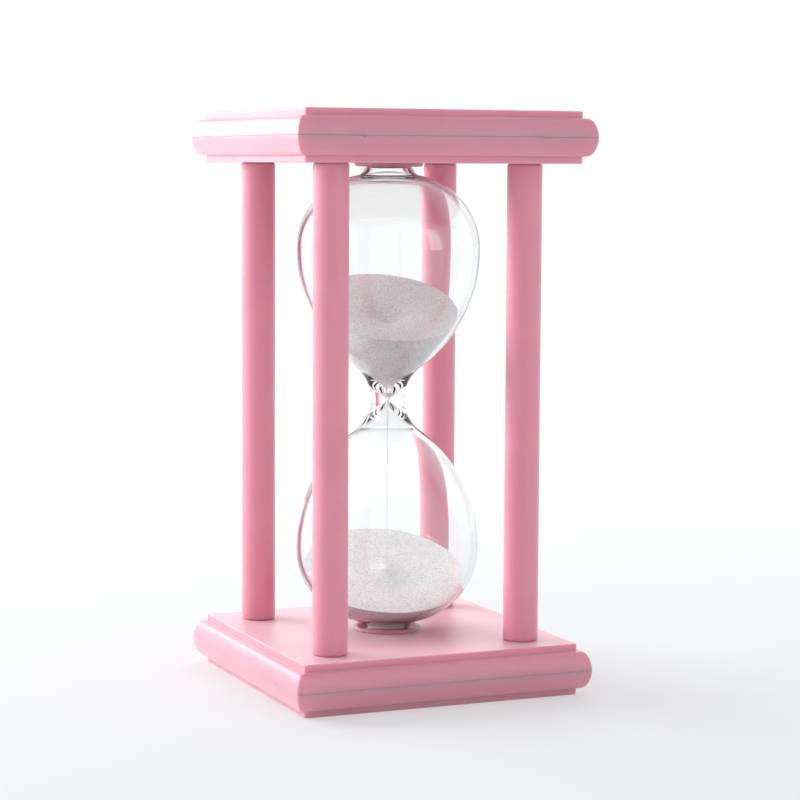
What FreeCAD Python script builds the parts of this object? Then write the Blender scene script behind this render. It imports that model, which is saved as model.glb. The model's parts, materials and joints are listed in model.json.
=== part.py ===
"""Hourglass with a square moulded frame: parametric FreeCAD document, millimetres.

Frame of reference: origin at the centre of the underside, +Z up along the glass, +X and +Y
square to the plates. Everything above mid height mirrors what is below it, except the glass,
which sits a little low on its lower pad, and the sand.
"""
import FreeCAD
import Part
import math
import os

from FreeCAD import Placement, Rotation, Vector
from Sketcher import Constraint

# Driving dimensions, in millimetres and degrees, one spreadsheet cell each.
DIMENSIONS = {
    "total_height": 160.0,
    "plate_thick": 14.2,
    "plate_half": 43.4,        # centre to the outermost line of the bullnose edge
    "tier_half": 40.1,         # centre to the edge of the flat tier
    "tier_step": 1.9,
    "nose_lip": 0.5,           # shelf between the tier and the start of the bullnose
    "nose_small_arc": 2.0,     # tighter arc of the bullnose, beside the shelf
    "skin_thick": 2.0,
    "cavity_draft": 3.0,       # widening of the cavity from its floor to the seam
    "tongue_width": 0.9,
    "tongue_depth": 1.2,
    "joint_gap": 0.1,
    "post_offset": 28.4,
    "post_radius": 4.82,
    "post_round": 0.7,
    "spigot_radius": 3.0,
    "spigot_depth": 1.2,
    "pilot_radius": 1.35,
    "pilot_depth": 9.0,
    "boss_radius": 5.6,
    "boss_depth": 3.0,
    "screw_radius": 1.3,
    "screw_reach": 8.0,        # length of thread inside the post
    "screw_head_radius": 2.5,
    "screw_head_high": 1.6,
    "screw_hole_radius": 1.6,
    "washer_radius": 3.2,
    "washer_thick": 0.5,
    "collar_flange_radius": 9.65,
    "collar_flange_high": 1.0,
    "collar_rim_round": 0.72,
    "collar_mouth_round": 0.6,
    "collar_barrel_radius": 8.9,
    "collar_mouth_radius": 8.2,
    "collar_depth": 6.2,       # from the plate's face to the underside of the cup
    "collar_floor_thick": 1.2,
    "rib_width": 5.0,
    "rib_top_drop": 0.9,       # ribs end this far below the rim
    "foot_radius": 6.7,
    "foot_bore_radius": 5.2,
    "foot_round": 2.6,
    "stopper_long": 4.25,
    "foot_clearance": 0.06,    # radial running fit of the foot between the ribs
    "lower_pad_thick": 1.7,
    "upper_pad_thick": 2.3,
    "pad_clearance": 0.05,
    "glass_middle": 79.7,      # height of the waist
    "waist_radius": 4.73,
    "waist_arc": 11.16,
    "bulb_radius": 25.75,
    "bulb_middle": 42.0,       # waist to the widest section of a bulb
    "dome_arc": 21.2,
    "crown_arc": 44.0,
    "glass_wall": 1.1,
    "bore_radius": 0.5,
    "funnel_half_angle": 44.0,
    "sand_clearance": 0.06,
    "sand_tilt": 21.9,
    "sand_tilt_heading": -8.9,  # heading of the level line across the tilted sand, from +X
    "upper_sand_level": 104.3,  # height of the sand on the glass axis
    "lower_sand_level": 29.4,
    "crater_radius": 6.5,
    "crater_depth": 3.0,
    "mound_radius": 6.0,
    "mound_high": 1.8,
    "stream_radius": 0.3,
}
RIB_COUNT = 6
SHEET_NAME = "Dimensions"


class Size:
    """A length worked out from the sheet: its value now, and the expression that keeps it."""

    def __init__(self, value, text):
        self.value = float(value)
        self.text = text

    def combine(self, other, sign, value):
        text = other.text if isinstance(other, Size) else repr(float(other))
        return Size(value, "(" + self.text + " " + sign + " " + text + ")")

    def __add__(self, other):
        return self.combine(other, "+", self.value + number(other))

    def __sub__(self, other):
        return self.combine(other, "-", self.value - number(other))

    def __mul__(self, other):
        return self.combine(other, "*", self.value * number(other))

    def __truediv__(self, other):
        return self.combine(other, "/", self.value / number(other))

    def __neg__(self):
        return self * -1.0

    def root(self):
        return Size(math.sqrt(self.value), "sqrt(" + self.text + ")")


class Sizes:
    """Gives each cell of the sheet as a Size attribute."""

    def __init__(self, table):
        for alias, value in table.items():
            setattr(self, alias, Size(value, "<<" + SHEET_NAME + ">>." + alias))


def number(item):
    return item.value if isinstance(item, Size) else float(item)


def fixed(value):
    return Size(value, repr(float(value)))


def fill_sheet(doc):
    """Write every driving dimension into its own cell, with its alias."""
    sheet = doc.addObject("Spreadsheet::Sheet", SHEET_NAME)
    for row, (alias, value) in enumerate(DIMENSIONS.items(), start=1):
        sheet.set("A%d" % row, alias.replace("_", " "))
        sheet.set("B%d" % row, str(value))
        sheet.setAlias("B%d" % row, alias)
    doc.recompute()


def bind(thing, **sizes):
    """Tie properties of an object to the sheet."""
    for name, size in sizes.items():
        thing.setExpression(name, size.text)


def arc_middle(start, end, radius, side):
    """Middle point of the shorter arc from start to end; side is +1 when it bulges left."""
    chord = end - start
    half = chord.Length / 2.0
    drop = radius - math.sqrt(max(radius ** 2 - half ** 2, 0.0))
    left = Vector(-chord.y, chord.x, 0.0).normalize()
    return (start + end) * 0.5 + left * (drop * side)


def draw_outline(sketch, corners):
    """Draw a closed outline and tie every corner and arc radius to the sheet.

    Each corner is (x, y), or (x, y, radius, side) when the edge that leads to it is an arc.
    """
    points = [Vector(corner[0].value, corner[1].value, 0.0) for corner in corners]
    for index, corner in enumerate(corners):
        start, end = points[index - 1], points[index]
        if len(corner) == 2:
            sketch.addGeometry(Part.LineSegment(start, end))
        else:
            middle = arc_middle(start, end, corner[2].value, corner[3])
            sketch.addGeometry(Part.Arc(start, middle, end))
    tie_outline(sketch, corners, points)


def reverse(corners):
    """The same run of corners walked the other way, each arc kept on its own edge."""
    back = []
    for index in range(len(corners) - 1, -1, -1):
        arc = ()
        if index + 1 < len(corners) and len(corners[index + 1]) == 4:
            arc = (corners[index + 1][2], -corners[index + 1][3])
        back.append(corners[index][:2] + arc)
    return back


def mirrored(corners):
    """Mirror a run of corners in the vertical axis."""
    return [(-corner[0], corner[1]) + ((corner[2], -corner[3]) if len(corner) == 4 else ())
            for corner in corners]


def end_point(sketch, edge, point):
    """Number of the end of an edge that lies at a point: an arc may be stored backwards."""
    return 2 if sketch.getPoint(edge, 2).isEqual(point, 1e-6) else 1


def tie_outline(sketch, corners, points):
    """Join the edges end to end and drive every corner and radius from the sheet."""
    for index, corner in enumerate(corners):
        following = (index + 1) % len(corners)
        end = end_point(sketch, index, points[index])
        start = 3 - end_point(sketch, following, points[following])
        sketch.addConstraint(Constraint("Coincident", index, end, following, start))
        for kind, size in (("DistanceX", corner[0]), ("DistanceY", corner[1])):
            if size.value == 0.0:
                axis = -2 if kind == "DistanceX" else -1
                sketch.addConstraint(Constraint("PointOnObject", index, end, axis))
            else:
                row = sketch.addConstraint(Constraint(kind, -1, 1, index, end, size.value))
                sketch.setExpression("Constraints[%d]" % row, size.text)
        if len(corner) == 4:
            row = sketch.addConstraint(Constraint("Radius", index, corner[2].value))
            sketch.setExpression("Constraints[%d]" % row, corner[2].text)


def new_body(doc, label):
    """An empty body that may hold several solids, as the screws and washers do."""
    body = doc.addObject("PartDesign::Body", label)
    body.Label = label
    body.AllowCompound = True
    return body


def body_sketch(body, name, role):
    """A sketch on one of the body's own origin planes."""
    plane = [item for item in body.Origin.OriginFeatures if item.Role == role][0]
    sketch = body.newObject("Sketcher::SketchObject", name)
    sketch.AttachmentSupport = [(plane, "")]
    sketch.MapMode = "FlatFace"
    return sketch


def turned_body(doc, label, corners):
    """A body revolved about the vertical axis from an outline in the XZ plane."""
    body = new_body(doc, label)
    sketch = body_sketch(body, label + "_outline", "XZ_Plane")
    draw_outline(sketch, corners)
    turn = body.newObject("PartDesign::Revolution", label + "_turn")
    turn.Profile = sketch
    turn.ReferenceAxis = (sketch, ["V_Axis"])
    turn.Angle = 360.0
    sketch.Visibility = False
    return body


def ring_of(body, feature, count):
    """Repeat a feature round the vertical axis and make the pattern the body's tip."""
    pattern = body.newObject("PartDesign::PolarPattern", feature.Name + "_ring")
    pattern.Originals = [feature]
    axis = [item for item in body.Origin.OriginFeatures if item.Role == "Z_Axis"][0]
    pattern.Axis = (axis, [""])
    pattern.Angle = 360.0
    pattern.Occurrences = count
    body.Tip = pattern


def four_corners(doc, body, size):
    """Shift a turned body's sketch to one post and repeat it at all four."""
    sketch, turn = body.Group[0], body.Group[1]
    bind(sketch, **{"AttachmentOffset.Base.x": size.post_offset})
    bind(sketch, **{"AttachmentOffset.Base.z": -size.post_offset})
    doc.recompute()
    ring_of(body, turn, 4)
    return body


def upside_down(size, thing):
    """Turn a piece made for the lower end over, to serve at the upper end."""
    thing.Placement = Placement(Vector(0, 0, size.total_height.value),
                                Rotation(Vector(1, 0, 0), 180))
    bind(thing, **{"Placement.Base.z": size.total_height})


# ---------------------------------------------------------------- plates

def nose_big_arc(size):
    """Radius of the flatter arc of the bullnose, tangent to the small arc and to the seam."""
    width = size.plate_half - size.tier_half - size.nose_lip
    high = size.plate_thick / 2.0 - size.tier_step
    top = width * width + high * high - high * size.nose_small_arc * 2.0
    return top / ((width - size.nose_small_arc) * 2.0)


def edge_corners(size, inner):
    """Right-hand edge of a half plate from its flat face to the seam, as outline corners."""
    big, small = nose_big_arc(size), size.nose_small_arc
    seam = size.plate_thick / 2.0
    shelf_x = size.tier_half + size.nose_lip
    big_x = size.plate_half - big
    step_z = seam - size.tier_step
    share = small / (big - small)
    meet_x = shelf_x + (shelf_x - big_x) * share
    meet_z = (step_z - small) + (step_z - small) * share
    side = 1 if inner else -1
    ends = [(size.tier_half, seam), (size.tier_half, step_z), (shelf_x, step_z),
            (meet_x, meet_z, small, side), (size.plate_half, fixed(0.0), big, side)]
    return [(end[0], seam + end[1] if inner else seam - end[1]) + end[2:] for end in ends]


def half_plate_outline(size, inner):
    """Whole outline of a half plate: its right-hand edge, then the same edge mirrored."""
    right = edge_corners(size, inner)
    return right + mirrored(reverse(right))


def prism(doc, name, size, inner, heading):
    """The half plate's outline run across the full width along X or along Y."""
    sketch = doc.addObject("Sketcher::SketchObject", name + "_outline")
    turn = Rotation(Vector(0, 0, 1), heading) * Rotation(Vector(1, 0, 0), 90)
    sketch.Placement = Placement(Vector(), turn)
    draw_outline(sketch, half_plate_outline(size, inner))
    run = doc.addObject("Part::Extrusion", name)
    run.Base = sketch
    run.DirMode = "Normal"
    run.Solid = True
    run.Symmetric = True
    bind(run, LengthFwd=size.plate_half * 2.2)
    return run


def cylinder(doc, name, radius, high, x, y, z):
    rod = doc.addObject("Part::Cylinder", name)
    bind(rod, Radius=radius, Height=high)
    bind(rod, **{"Placement.Base.x": x, "Placement.Base.y": y, "Placement.Base.z": z})
    return rod


def square_block(doc, name, half, high, z):
    """An upright block, square in plan and centred on the axis."""
    block = doc.addObject("Part::Box", name)
    bind(block, Length=half * 2.0, Width=half * 2.0, Height=high)
    bind(block, **{"Placement.Base.x": -half, "Placement.Base.y": -half, "Placement.Base.z": z})
    return block


def cavity(doc, name, size, inner):
    """The hollow of a half plate: a truncated pyramid that widens towards the seam."""
    wedge = doc.addObject("Part::Wedge", name)
    narrow = size.tier_half - size.skin_thick
    wide = narrow + size.cavity_draft
    depth = size.plate_thick / 2.0 - size.skin_thick
    bind(wedge, Xmin=-wide, Xmax=wide, Zmin=-wide, Zmax=wide)
    bind(wedge, X2min=-narrow, X2max=narrow, Z2min=-narrow, Z2max=narrow)
    bind(wedge, Ymin=fixed(0.0), Ymax=depth)
    angle = 90 if inner else -90
    wedge.Placement = Placement(Vector(), Rotation(Vector(1, 0, 0), angle))
    bind(wedge, **{"Placement.Base.z": size.plate_thick / 2.0})
    return wedge


def fuse(doc, name, shapes):
    joined = doc.addObject("Part::MultiFuse", name)
    joined.Shapes = shapes
    joined.Refine = True
    return joined


def cut(doc, name, base, tool):
    rest = doc.addObject("Part::Cut", name)
    rest.Base = base
    rest.Tool = tool
    rest.Refine = True
    return rest


def hollow_half(doc, label, size, inner):
    """Mitred bullnose block of a half plate, hollowed to its wall."""
    block = doc.addObject("Part::MultiCommon", label + "_block")
    block.Shapes = [prism(doc, label + "_along_y", size, inner, 0),
                    prism(doc, label + "_along_x", size, inner, 90)]
    return cut(doc, label + "_hollow", block, cavity(doc, label + "_cavity", size, inner))


def seam_ring(doc, name, size, width, depth):
    """Square ring below the seam, round the mouth of the cavity."""
    mouth = size.tier_half - size.skin_thick + size.cavity_draft
    outer = square_block(doc, name + "_outer", mouth + width, depth,
                         size.plate_thick / 2.0 - depth)
    inner = square_block(doc, name + "_inner", mouth, depth, size.plate_thick / 2.0 - depth)
    return cut(doc, name, outer, inner)


def cover(doc, end, size):
    """Outer half plate: a plain shell with a rebate for the other half's tongue."""
    label = end + "_cover"
    rebate = seam_ring(doc, label + "_rebate", size, size.tongue_width + size.joint_gap,
                       size.tongue_depth + size.joint_gap)
    piece = cut(doc, label, hollow_half(doc, label, size, False), rebate)
    piece.Label = label
    return piece


def corner_places(size):
    away = size.post_offset
    return [(x, y) for y in (-away, away) for x in (-away, away)]


def inner_shell(doc, end, size):
    """Inner half plate: tongue, four screw bosses with spigot seats, and the collar's hole."""
    label = end + "_inner_shell"
    added = [hollow_half(doc, label, size, True)]
    added.append(seam_ring(doc, label + "_tongue", size, size.tongue_width, size.tongue_depth))
    removed = []
    roof = size.plate_thick - size.skin_thick
    boss_z = roof - size.boss_depth
    seat_depth = size.spigot_depth + size.joint_gap / 2.0
    for count, (x, y) in enumerate(corner_places(size)):
        name = "%s_%%s_%d" % (label, count)
        added.append(cylinder(doc, name % "boss", size.boss_radius,
                              size.boss_depth + size.joint_gap, x, y, boss_z))
        removed.append(cylinder(doc, name % "hole", size.screw_hole_radius,
                                size.plate_thick, x, y, fixed(0.0)))
        removed.append(cylinder(doc, name % "seat", size.spigot_radius + size.joint_gap / 2.0,
                                size.plate_thick, x, y, size.plate_thick - seat_depth))
    removed.append(cylinder(doc, label + "_collar_hole",
                            size.collar_barrel_radius + size.joint_gap / 2.0,
                            size.plate_thick, fixed(0.0), fixed(0.0), size.plate_thick / 2.0))
    piece = cut(doc, label, fuse(doc, label + "_solid", added),
                fuse(doc, label + "_holes", removed))
    piece.Label = label
    return piece


# ---------------------------------------------------------------- pillars and fasteners

def post_end(size, top):
    """Outline corners of one end of a pillar, from its pilot hole outwards to its side."""
    inward = -1.0 if top else 1.0
    face = size.total_height - size.plate_thick if top else size.plate_thick
    tip = face - size.spigot_depth * inward
    bottom = tip + size.pilot_depth * inward
    side = 1 if top else -1
    return [
        (fixed(0.0), bottom + size.pilot_radius * inward),
        (size.pilot_radius, bottom),
        (size.pilot_radius, tip),
        (size.spigot_radius, tip),
        (size.spigot_radius, face),
        (size.post_radius - size.post_round, face),
        (size.post_radius, face + size.post_round * inward, size.post_round, side),
    ]


def pillar(doc, label, size, x, y):
    body = turned_body(doc, label, post_end(size, False) + reverse(post_end(size, True)))
    bind(body, **{"Placement.Base.x": x, "Placement.Base.y": y})
    return body


def pillar_screws(doc, end, size):
    """Four pan-head self-tapping screws, driven from inside the plate into the pillars."""
    seat = size.plate_thick - size.skin_thick - size.boss_depth - size.washer_thick
    tip = size.plate_thick - size.spigot_depth + size.screw_reach
    head = seat - size.screw_head_high
    crown = size.screw_head_radius * 0.3
    corners = [
        (fixed(0.0), head),
        (size.screw_head_radius - crown, head),
        (size.screw_head_radius, head + crown, crown, -1),
        (size.screw_head_radius, seat),
        (size.screw_radius, seat),
        (size.screw_radius, tip - size.screw_radius),
        (fixed(0.0), tip),
    ]
    return four_corners(doc, turned_body(doc, end + "_pillar_screws", corners), size)


def screw_washers(doc, end, size):
    top = size.plate_thick - size.skin_thick - size.boss_depth
    bottom = top - size.washer_thick
    hole = size.screw_radius + size.joint_gap
    corners = [(hole, bottom), (size.washer_radius, bottom), (size.washer_radius, top),
               (hole, top)]
    return four_corners(doc, turned_body(doc, end + "_screw_washers", corners), size)


# ---------------------------------------------------------------- collars and pads

def collar(doc, label, size):
    """Flanged cup let into the plate, with ribs that centre the glass foot."""
    face = size.plate_thick
    rim = face + size.collar_flange_high
    floor = face - size.collar_depth + size.collar_floor_thick
    rounding, mouth_round = size.collar_rim_round, size.collar_mouth_round
    corners = [
        (fixed(0.0), face - size.collar_depth),
        (size.collar_barrel_radius, face - size.collar_depth),
        (size.collar_barrel_radius, face),
        (size.collar_flange_radius, face),
        (size.collar_flange_radius, rim - rounding),
        (size.collar_flange_radius - rounding, rim, rounding, -1),
        (size.collar_mouth_radius + mouth_round, rim),
        (size.collar_mouth_radius, rim - mouth_round, mouth_round, -1),
        (size.collar_mouth_radius, floor),
        (fixed(0.0), floor),
    ]
    body = turned_body(doc, label, corners)
    doc.recompute()
    sketch = body_sketch(body, label + "_rib_outline", "XY_Plane")
    bind(sketch, **{"AttachmentOffset.Base.z": floor})
    half = size.rib_width / 2.0
    bore = size.foot_radius + size.foot_clearance
    start = (bore * bore - half * half).root()
    into_wall = size.collar_mouth_radius + size.joint_gap * 2.0
    draw_outline(sketch, [(start, half, bore, -1), (into_wall, half), (into_wall, -half),
                          (start, -half)])
    rib = body.newObject("PartDesign::Pad", label + "_rib")
    rib.Profile = sketch
    bind(rib, Length=rim - size.rib_top_drop - floor)
    sketch.Visibility = False
    doc.recompute()
    ring_of(body, rib, RIB_COUNT)
    return body


def pad(doc, label, size, thick):
    """Soft disc on the floor of a collar's cup."""
    bottom = size.plate_thick - size.collar_depth + size.collar_floor_thick
    radius = size.foot_radius - size.foot_clearance
    corners = [(fixed(0.0), bottom), (radius, bottom), (radius, bottom + thick),
               (fixed(0.0), bottom + thick)]
    return turned_body(doc, label, corners)


# ---------------------------------------------------------------- glass and sand

def bulb_arcs(size, wall):
    """Radii and centres of the arcs of one bulb, for a surface this far inside the glass."""
    gap = size.waist_radius + size.waist_arc - size.bulb_radius
    reach = size.bulb_middle
    top = gap * gap + reach * reach - size.waist_arc * size.waist_arc
    neck = top / ((size.waist_arc - gap) * 2.0)
    dome_x = size.bulb_radius - size.dome_arc
    spread = size.crown_arc - size.dome_arc
    drop = (spread * spread - dome_x * dome_x).root()
    return {"neck": neck - wall, "neck_x": size.bulb_radius - neck,
            "dome": size.dome_arc - wall, "dome_x": dome_x,
            "crown": size.crown_arc - wall, "crown_h": reach - drop,
            "spread": spread, "drop": drop}


def on_arc(centre_h, radius, x):
    """Height on an arc centred on the axis, x away from it."""
    return centre_h + (radius * radius - x * x).root()


def crown_joint(size, arcs):
    """Where the dome arc meets the crown arc, as radius and height from the waist."""
    scale = arcs["crown"] / arcs["spread"]
    return arcs["dome_x"] * scale, arcs["crown_h"] + arcs["drop"] * scale


def outside_corners(size):
    """Outer surface from the waist to the top of a foot, heights counted from the waist."""
    arcs = bulb_arcs(size, fixed(0.0))
    share = size.waist_arc / (size.waist_arc + arcs["neck"])
    waist_x = size.waist_radius + size.waist_arc
    joint_x, joint_h = crown_joint(size, arcs)
    foot_x = size.foot_radius + size.foot_round
    foot_h = on_arc(arcs["crown_h"], arcs["crown"], foot_x)
    return [
        (size.waist_radius, fixed(0.0)),
        (waist_x + (arcs["neck_x"] - waist_x) * share, size.bulb_middle * share,
         size.waist_arc, 1),
        (size.bulb_radius, size.bulb_middle, arcs["neck"], -1),
        (joint_x, joint_h, arcs["dome"], -1),
        (foot_x, foot_h, arcs["crown"], -1),
        (size.foot_radius, foot_h + size.foot_round, size.foot_round, 1),
        (size.foot_radius, foot_end(size)),
    ]


def foot_end(size):
    """Height of the end of a foot above the waist: the lower foot stands on its pad."""
    pad_top = (size.plate_thick - size.collar_depth + size.collar_floor_thick
               + size.lower_pad_thick)
    return size.glass_middle - pad_top - size.pad_clearance


def inside_corners(size, wall, bore):
    """Inner surface from the bore to the crown, heights counted from the waist.

    The funnel is a straight cone, tangent to the neck arc, that ends at the bore.
    """
    arcs = bulb_arcs(size, wall)
    angle = math.radians(size.funnel_half_angle.value)
    slope = size.funnel_half_angle.text
    sine = Size(math.sin(angle), "sin(" + slope + ")")
    cosine = Size(math.cos(angle), "cos(" + slope + ")")
    cone_x = arcs["neck_x"] + arcs["neck"] * cosine
    cone_h = size.bulb_middle - arcs["neck"] * sine
    bore_h = cone_h - (cone_x - bore) * cosine / sine
    joint_x, joint_h = crown_joint(size, arcs)
    return [
        (bore, bore_h),
        (cone_x, cone_h),
        (size.bulb_radius - wall, size.bulb_middle, arcs["neck"], -1),
        (joint_x, joint_h, arcs["dome"], -1),
    ]


def foot_corners(size, wall, bore, bore_h):
    """Inner surface from the crown into a foot: it flares over an arc that meets the bore."""
    inner = bulb_arcs(size, wall)
    foot_x = size.foot_radius + size.foot_round
    flare_h = on_arc(inner["crown_h"], inner["crown"], foot_x)
    across = foot_x - bore
    rise = bore_h - flare_h
    flare = (across * across + rise * rise) / (across * 2.0)
    return [(foot_x, flare_h, inner["crown"], -1), (bore, bore_h, flare, 1)]


def below(corners):
    """Mirror a run of corners under the waist."""
    return [(corner[0], -corner[1]) + ((corner[2], -corner[3]) if len(corner) == 4 else ())
            for corner in corners]


def raise_by(size, corners):
    return [(corner[0], size.glass_middle + corner[1]) + corner[2:] for corner in corners]


def glass(doc, size):
    """Double bulb with a thick waist and an open foot at each end."""
    outside = outside_corners(size)
    bore = size.foot_bore_radius
    inside = inside_corners(size, size.glass_wall, size.bore_radius)
    inside += foot_corners(size, size.glass_wall, bore, outside[-2][1])
    corners = reverse(below(outside)) + outside[1:]
    corners += [(bore, foot_end(size))] + reverse(inside)
    corners += below(inside) + [(bore, -foot_end(size))]
    return turned_body(doc, "glass", raise_by(size, corners))


def stopper(doc, label, size, side):
    """Plug in the lower foot (side -1) or the upper one (side 1), level with the foot's end."""
    radius = size.foot_bore_radius - size.pad_clearance
    outer = foot_end(size) * side
    inner = (foot_end(size) - size.stopper_long) * side
    corners = [(fixed(0.0), outer), (radius, outer), (radius, inner), (fixed(0.0), inner)]
    return turned_body(doc, label, raise_by(size, corners))


def on_slope(size, level, side, depth):
    """Place a piece on the tilted sand, shifted sideways and down square to its face."""
    heading = math.radians(size.sand_tilt_heading.value)
    axis = Vector(math.cos(heading), math.sin(heading), 0.0)
    tilt = Placement(Vector(0, 0, level.value), Rotation(axis, size.sand_tilt.value))
    return tilt * Placement(Vector(-side, -side, -depth), Rotation())


def tilted_block(doc, name, size, level):
    """A big block whose underside is the tilted face of the sand."""
    block = doc.addObject("Part::Box", name)
    side = size.bulb_radius * 4.0
    bind(block, Length=side, Width=side, Height=side)
    block.Placement = on_slope(size, level, side.value / 2.0, 0.0)
    return block


def tilted_cone(doc, name, size, level, radius, high, opens_up):
    """A cone half sunk in the tilted face of the sand, this wide and high at the face."""
    cone = doc.addObject("Part::Cone", name)
    wide, point = radius * 2.0, fixed(0.0)
    bind(cone, Radius1=point if opens_up else wide, Radius2=wide if opens_up else point)
    bind(cone, Height=high * 2.0)
    cone.Placement = on_slope(size, level, 0.0, high.value)
    return cone


def sand_core(doc, name, size, upper):
    """Everything inside one bulb, a little clear of the glass."""
    gap = size.glass_wall + size.sand_clearance
    inside = inside_corners(size, gap, size.bore_radius - size.sand_clearance)
    inner = bulb_arcs(size, gap)
    if upper:
        corners = [(fixed(0.0), inside[0][1])] + inside
        corners.append((fixed(0.0), inner["crown_h"] + inner["crown"], inner["crown"], -1))
    else:
        level = foot_end(size) - size.stopper_long - size.sand_clearance
        inside += foot_corners(size, gap, size.foot_bore_radius - size.sand_clearance, level)
        corners = [(fixed(0.0), -inside[0][1])] + below(inside) + [(fixed(0.0), -level)]
    return turned_body(doc, name, raise_by(size, corners))


def sand_upper(doc, size):
    """Sand left in the upper bulb: tilted, with a crater over the waist."""
    level = cut(doc, "sand_upper_level", sand_core(doc, "sand_upper_core", size, True),
                tilted_block(doc, "sand_upper_air", size, size.upper_sand_level))
    crater = tilted_cone(doc, "sand_upper_crater", size, size.upper_sand_level,
                         size.crater_radius, size.crater_depth, True)
    piece = cut(doc, "sand_upper", level, crater)
    piece.Label = "sand_upper"
    return piece


def sand_lower(doc, size):
    """Heap in the lower bulb: tilted, with a small mound where the stream lands."""
    level = cut(doc, "sand_lower_level", sand_core(doc, "sand_lower_core", size, False),
                tilted_block(doc, "sand_lower_air", size, size.lower_sand_level))
    mound = tilted_cone(doc, "sand_lower_mound", size, size.lower_sand_level,
                        size.mound_radius, size.mound_high, False)
    piece = fuse(doc, "sand_lower", [level, mound])
    piece.Label = "sand_lower"
    return piece


def sand_stream(doc, size):
    """Falling stream, from inside the bore down to the mound."""
    top = size.glass_middle + size.bore_radius
    bottom = size.lower_sand_level + size.mound_high
    stream = cylinder(doc, "sand_stream", size.stream_radius, top - bottom, fixed(0.0),
                      fixed(0.0), bottom)
    stream.Label = "sand_stream"
    return stream


# ---------------------------------------------------------------- assembly

def build_end(doc, end, size):
    """Everything that the lower and upper ends share; the upper end is the lower turned over."""
    place = "lower" if end == "bottom" else "upper"
    thick = size.lower_pad_thick if end == "bottom" else size.upper_pad_thick
    pieces = [
        cover(doc, end, size),
        inner_shell(doc, end, size),
        pillar_screws(doc, end, size),
        screw_washers(doc, end, size),
        collar(doc, place + "_collar", size),
        pad(doc, place + "_pad", size, thick),
    ]
    if end == "top":
        for piece in pieces:
            upside_down(size, piece)
    return pieces


def build_pillars(doc, size):
    names = ("pillar_front_left", "pillar_front_right", "pillar_back_left", "pillar_back_right")
    return [pillar(doc, name, size, x, y) for name, (x, y) in zip(names, corner_places(size))]


def check(doc, pieces):
    """Stop if any object failed, or if a piece is empty or broken."""
    for thing in doc.Objects:
        if "Invalid" in thing.State or "Error" in thing.State:
            raise RuntimeError("%s failed: %s" % (thing.Name, thing.State))
    for piece in pieces:
        shape = piece.Shape
        if shape.isNull() or not shape.isValid() or not shape.Solids:
            raise RuntimeError("%s has no valid solid" % piece.Label)
        print("%-22s %2d solid(s) %10.1f mm3" % (piece.Label, len(shape.Solids), shape.Volume))


def main():
    doc = FreeCAD.newDocument("hourglass")
    fill_sheet(doc)
    size = Sizes(DIMENSIONS)
    pieces = build_end(doc, "bottom", size) + build_end(doc, "top", size)
    pieces += build_pillars(doc, size)
    pieces += [glass(doc, size)]
    pieces += [stopper(doc, "lower_stopper", size, -1.0), stopper(doc, "upper_stopper", size, 1.0)]
    pieces += [sand_upper(doc, size), sand_lower(doc, size), sand_stream(doc, size)]
    doc.recompute()
    check(doc, pieces)
    os.makedirs("parts", exist_ok=True)
    for piece in pieces:
        piece.Shape.exportStep("parts/%s.step" % piece.Label)


main()
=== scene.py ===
"""Hourglass with a square moulded frame: the looks of every piece, built round its CAD model.

Lengths in the classes are millimetres; a mesh is turned to metres as it is made. The origin is
the centre of the underside, +Z runs up along the glass, +X and +Y are square to the plates.
"""
import json
import logging
import math
from dataclasses import dataclass
from enum import Enum
from typing import Any, Optional, Sequence

import bmesh
import bpy
import numpy as np
from mathutils import Matrix, Vector


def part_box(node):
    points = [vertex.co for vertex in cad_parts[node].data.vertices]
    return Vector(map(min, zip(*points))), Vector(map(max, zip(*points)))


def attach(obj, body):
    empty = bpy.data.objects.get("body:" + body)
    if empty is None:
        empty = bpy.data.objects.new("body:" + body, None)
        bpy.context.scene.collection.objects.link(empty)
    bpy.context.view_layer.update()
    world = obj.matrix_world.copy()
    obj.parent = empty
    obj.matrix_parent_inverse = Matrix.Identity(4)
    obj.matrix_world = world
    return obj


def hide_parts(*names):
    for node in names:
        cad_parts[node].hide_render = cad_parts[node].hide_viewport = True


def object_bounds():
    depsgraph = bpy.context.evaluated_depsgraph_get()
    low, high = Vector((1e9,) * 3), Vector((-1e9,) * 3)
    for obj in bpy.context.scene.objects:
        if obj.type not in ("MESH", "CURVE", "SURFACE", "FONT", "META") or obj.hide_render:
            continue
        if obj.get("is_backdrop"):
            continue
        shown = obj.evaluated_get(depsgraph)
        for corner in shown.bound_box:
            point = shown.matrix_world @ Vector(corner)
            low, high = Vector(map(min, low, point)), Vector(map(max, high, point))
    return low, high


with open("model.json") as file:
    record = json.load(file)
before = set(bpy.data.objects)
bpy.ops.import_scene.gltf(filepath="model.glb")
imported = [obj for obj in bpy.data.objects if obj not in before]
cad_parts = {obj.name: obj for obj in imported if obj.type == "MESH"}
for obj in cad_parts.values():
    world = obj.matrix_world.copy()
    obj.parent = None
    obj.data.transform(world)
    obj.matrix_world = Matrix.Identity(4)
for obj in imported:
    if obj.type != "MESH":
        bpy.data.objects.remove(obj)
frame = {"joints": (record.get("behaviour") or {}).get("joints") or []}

log = logging.getLogger("hourglass")
MM = 0.001
Table = np.ndarray


# ---------------------------------------------------------------- helpers for shapes

def box_mm(node: str) -> tuple[Vector, Vector]:
    """Lowest and highest corner of a CAD node at rest, in millimetres."""
    low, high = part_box(node)
    return low / MM, high / MM


class Bulge(Enum):
    """The side of its chord, seen along the direction of travel, to which an arc swells."""

    LEFT = 1
    RIGHT = -1


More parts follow.
